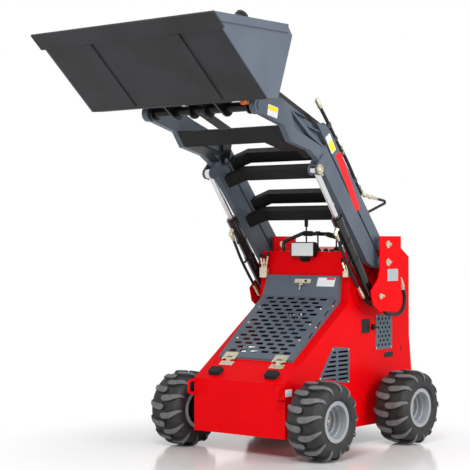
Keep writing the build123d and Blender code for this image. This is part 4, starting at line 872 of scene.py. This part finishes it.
def beam_lines():
    """Hydraulic lines clamped to the rear edge of the left rear beam, with their unions and sleeves."""
    line = [on_beam(ARM_MIDDLE, along, across) for along, across in
            ((440, 132), (500, 131), (600, 138), (690, 141), (760, 138), (820, 131), (900, 133), (1010, 131),
             (1092, 128))]
    make_piece("beam_line", [pipe(line, 10.5, 14, 4)], "hose", "upper_link")
    loop = [on_beam(ARM_MIDDLE, along, across) for along, across in
            ((312, 238), (272, 276), (244, 300), (232, 302), (230, 290), (248, 250), (278, 178), (308, 112),
             (326, 88))]
    make_piece("beam_line_loop", [pipe(loop, 8.5, 14, 5)], "hose", "upper_link")
    along_beam = on_beam(0, 1, 0) - on_beam(0, 0, 0)
    nut = [(0, 0), (0, 13), (20, 13), (22, 10.5), (34, 10.5), (36, 13.5), (52, 13.5), (54, 11), (54, 0)]
    make_piece("beam_unions", [turned(nut, on_beam(ARM_MIDDLE, s, 139), along_beam, 6) for s in (440, 738)],
               "olive", "upper_link")
    start, end = on_beam(ARM_MIDDLE, 436, 128), on_beam(ARM_MIDDLE, 306, 244)
    reach = np.linalg.norm(end - start)
    elbow = turned([(0, 0), (0, 10), (30, 10), (32, 14), (56, 14), (58, 11), (90, 11), (92, 14), (118, 14),
                    (120, 10.5), (reach, 10.5), (reach, 0)], start, end - start, 6)
    sleeve = turned([(0, 0), (0, 12.5), (4, 14), (52, 14), (56, 12), (60, 12), (60, 0)],
                    on_beam(ARM_MIDDLE, 1088, 128), along_beam, 16)
    make_piece("beam_sleeves", [elbow, sleeve], "zinc", "upper_link")
    clips = [slab(rounded(30, 20, 4), on_beam(ARM_MIDDLE, s, 98), along_beam, (1, 0, 0), 46, 2)
             for s in (545, 860, 960)]
    make_piece("beam_clips", clips, "black", "upper_link")


def head_fittings():
    """Closed quick couplers under the bucket with their caps."""
    spots = ((358, -778, 2022), (358, -738, 2026))
    caps = [turned([(0, 0), (0, 15), (4, 17), (24, 17), (28, 14), (28, 0)], place, (0.25, -1, 0), 18)
            for place in spots]
    make_piece("coupler_caps", caps, "cap", "boom")
    bodies = [turned([(0, 0), (0, 12), (30, 12), (32, 9), (52, 9), (52, 0)], place, (0.1, 1, 0.1), 16)
              for place in spots]
    bodies.append(slab(rounded(90, 14, 3), (366, -728, 2022), (0, 1, 0), (0, 0, 1), 17, 1.5))
    make_piece("quick_couplers", bodies, "zinc", "boom")


# Padded rest: its middle's height up the rear sheet, the seam's width and height, the seam off the sheet
PAD_HEIGHT_UP = 182.5
PAD_SEAM = (424.0, 233.0)
SEAM_HEIGHT = 26.0


def thigh_pad():
    """Crowned pad: rings of a rounded outline drawn from its middle to the seam and back, the front raised
    by (1 - share^4)^0.5 and the sides a little pulled in. The rings have points round their corners alone,
    so the two sewn channels come out short, across about its middle third."""
    high, low = np.array(BODY_PROFILE[5:7])
    up2 = unit(high - low)
    out2 = np.array([up2[1], -up2[0]])
    centre2 = low + up2 * PAD_HEIGHT_UP
    outline = rounded(*PAD_SEAM, 34, 12)
    pull = 1 - 0.018 * np.cos(outline / (212, 116) * np.pi / 2)[:, ::-1]
    outline = outline * pull
    share = np.concatenate([np.linspace(0, 0.8, 17), np.linspace(0.84, 1, 8)])
    back = np.linspace(1, 0, 8)[1:]
    plane = np.concatenate([share, back])[:, None, None] * outline
    front_height = SEAM_HEIGHT + 24 * (1 - share ** 4) ** 0.5
    back_height = SEAM_HEIGHT - 24.5 * (1 - back ** 8) ** 0.5
    height = np.concatenate([front_height, back_height])[:, None] * np.ones(len(outline))
    channel = sum(np.exp(-((plane[..., 1] - y) / 5.0) ** 2) for y in (-40.0, 40.0))
    height -= 9 * channel * np.concatenate([1 - share ** 10, 0 * back])[:, None]
    y = centre2[0] + plane[..., 1] * up2[0] + height * out2[0]
    z = centre2[1] + plane[..., 1] * up2[1] + height * out2[1]
    surface = np.stack([plane[..., 0], y, z], -1), False, True
    pad = make_piece("padded_rest", [surface], "pad", "chassis", 60, replaces=["thigh_pad"])
    seam = np.concatenate([outline, outline[:1]])
    line = np.stack([seam[:, 0], centre2[0] + seam[:, 1] * up2[0] + SEAM_HEIGHT * out2[0],
                     centre2[1] + seam[:, 1] * up2[1] + SEAM_HEIGHT * out2[1]], -1)
    make_piece("rest_piping", [pipe(line, 2.6, 8, 1)], "rubber", "chassis")


for end in ("front", "rear"):
    for side in ("left", "right"):
        tyre(end, side)
        wheel_hardware(end, side)
hood_hardware()
side_hardware()
tie_loops()
tower_hardware()
console_hardware()
work_lamp_parts()
boom_plates()
boom_fasteners()
cylinder_lines()
tower_lines()
beam_lines()
head_fittings()
thigh_pad()


# Studio

def studio_floor():
    """A pale floor, a disc about the machine, that keeps the shadow and fades into the white backdrop."""
    material, tree, shader, place = new_material("studio_floor")
    shader.inputs["Base Color"].default_value = linear("#F4F4F4")
    shader.inputs["Roughness"].default_value = 0.14
    reach = add(tree, "ShaderNodeVectorMath", {"operation": "LENGTH"}, i0=place)
    fade = add(tree, "ShaderNodeMapRange", {"interpolation_type": "SMOOTHSTEP"}, i0=reach.outputs["Value"],
               i1=0.75, i2=1.9)
    white = add(tree, "ShaderNodeEmission", Color=(1, 1, 1, 1), Strength=1.0)
    mixed = add(tree, "ShaderNodeMixShader", i0=fade.outputs[0], i1=shader.outputs[0], i2=white.outputs[0])
    output = next(item for item in tree.nodes if item.type == "OUTPUT_MATERIAL")
    tree.links.new(mixed.outputs[0], output.inputs[0])
    bpy.ops.mesh.primitive_circle_add(vertices=64, radius=30, fill_type="NGON", location=(0, 0, 0))
    floor = bpy.context.object
    floor.name = "studio_floor"
    floor.data.materials.append(material)


def backdrop_world():
    """White to the camera, mirrors and glass; softer as light on the machine."""
    world = bpy.data.worlds.new("studio")
    bpy.context.scene.world = world
    world.use_nodes = True
    tree = world.node_tree
    tree.nodes.clear()
    path = add(tree, "ShaderNodeLightPath")
    seen = add(tree, "ShaderNodeMath", {"operation": "MAXIMUM"}, i0=path.outputs["Is Camera Ray"],
               i1=path.outputs["Is Glossy Ray"])
    seen = add(tree, "ShaderNodeMath", {"operation": "MAXIMUM"}, i0=seen.outputs[0],
               i1=path.outputs["Is Transmission Ray"])
    strength = add(tree, "ShaderNodeMapRange", i0=seen.outputs[0], i3=0.28, i4=1.0)
    light = add(tree, "ShaderNodeBackground", Color=(1, 1, 1, 1), Strength=strength.outputs[0])
    output = add(tree, "ShaderNodeOutputWorld")
    tree.links.new(light.outputs[0], output.inputs[0])


def soft_lamp(name, place, aim, size, watts):
    """A square area lamp at a place, turned towards a point."""
    data = bpy.data.lights.new(name, "AREA")
    data.size = size
    data.energy = watts
    lamp = bpy.data.objects.new(name, data)
    bpy.context.collection.objects.link(lamp)
    lamp.location = place
    lamp.rotation_euler = (Vector(aim) - Vector(place)).to_track_quat("-Z", "Y").to_euler()


studio_floor()
backdrop_world()
soft_lamp("key_lamp", (2.6, -4.6, 5.2), (0, 0, 1.0), 3.0, 340)
soft_lamp("side_lamp", (5.5, 0.5, 2.6), (0, 0, 1.0), 3.5, 210)
soft_lamp("front_lamp", (-1.0, -6.0, 1.6), (0, 0, 1.0), 3.0, 50)
bpy.context.scene.view_settings.view_transform = "Standard"
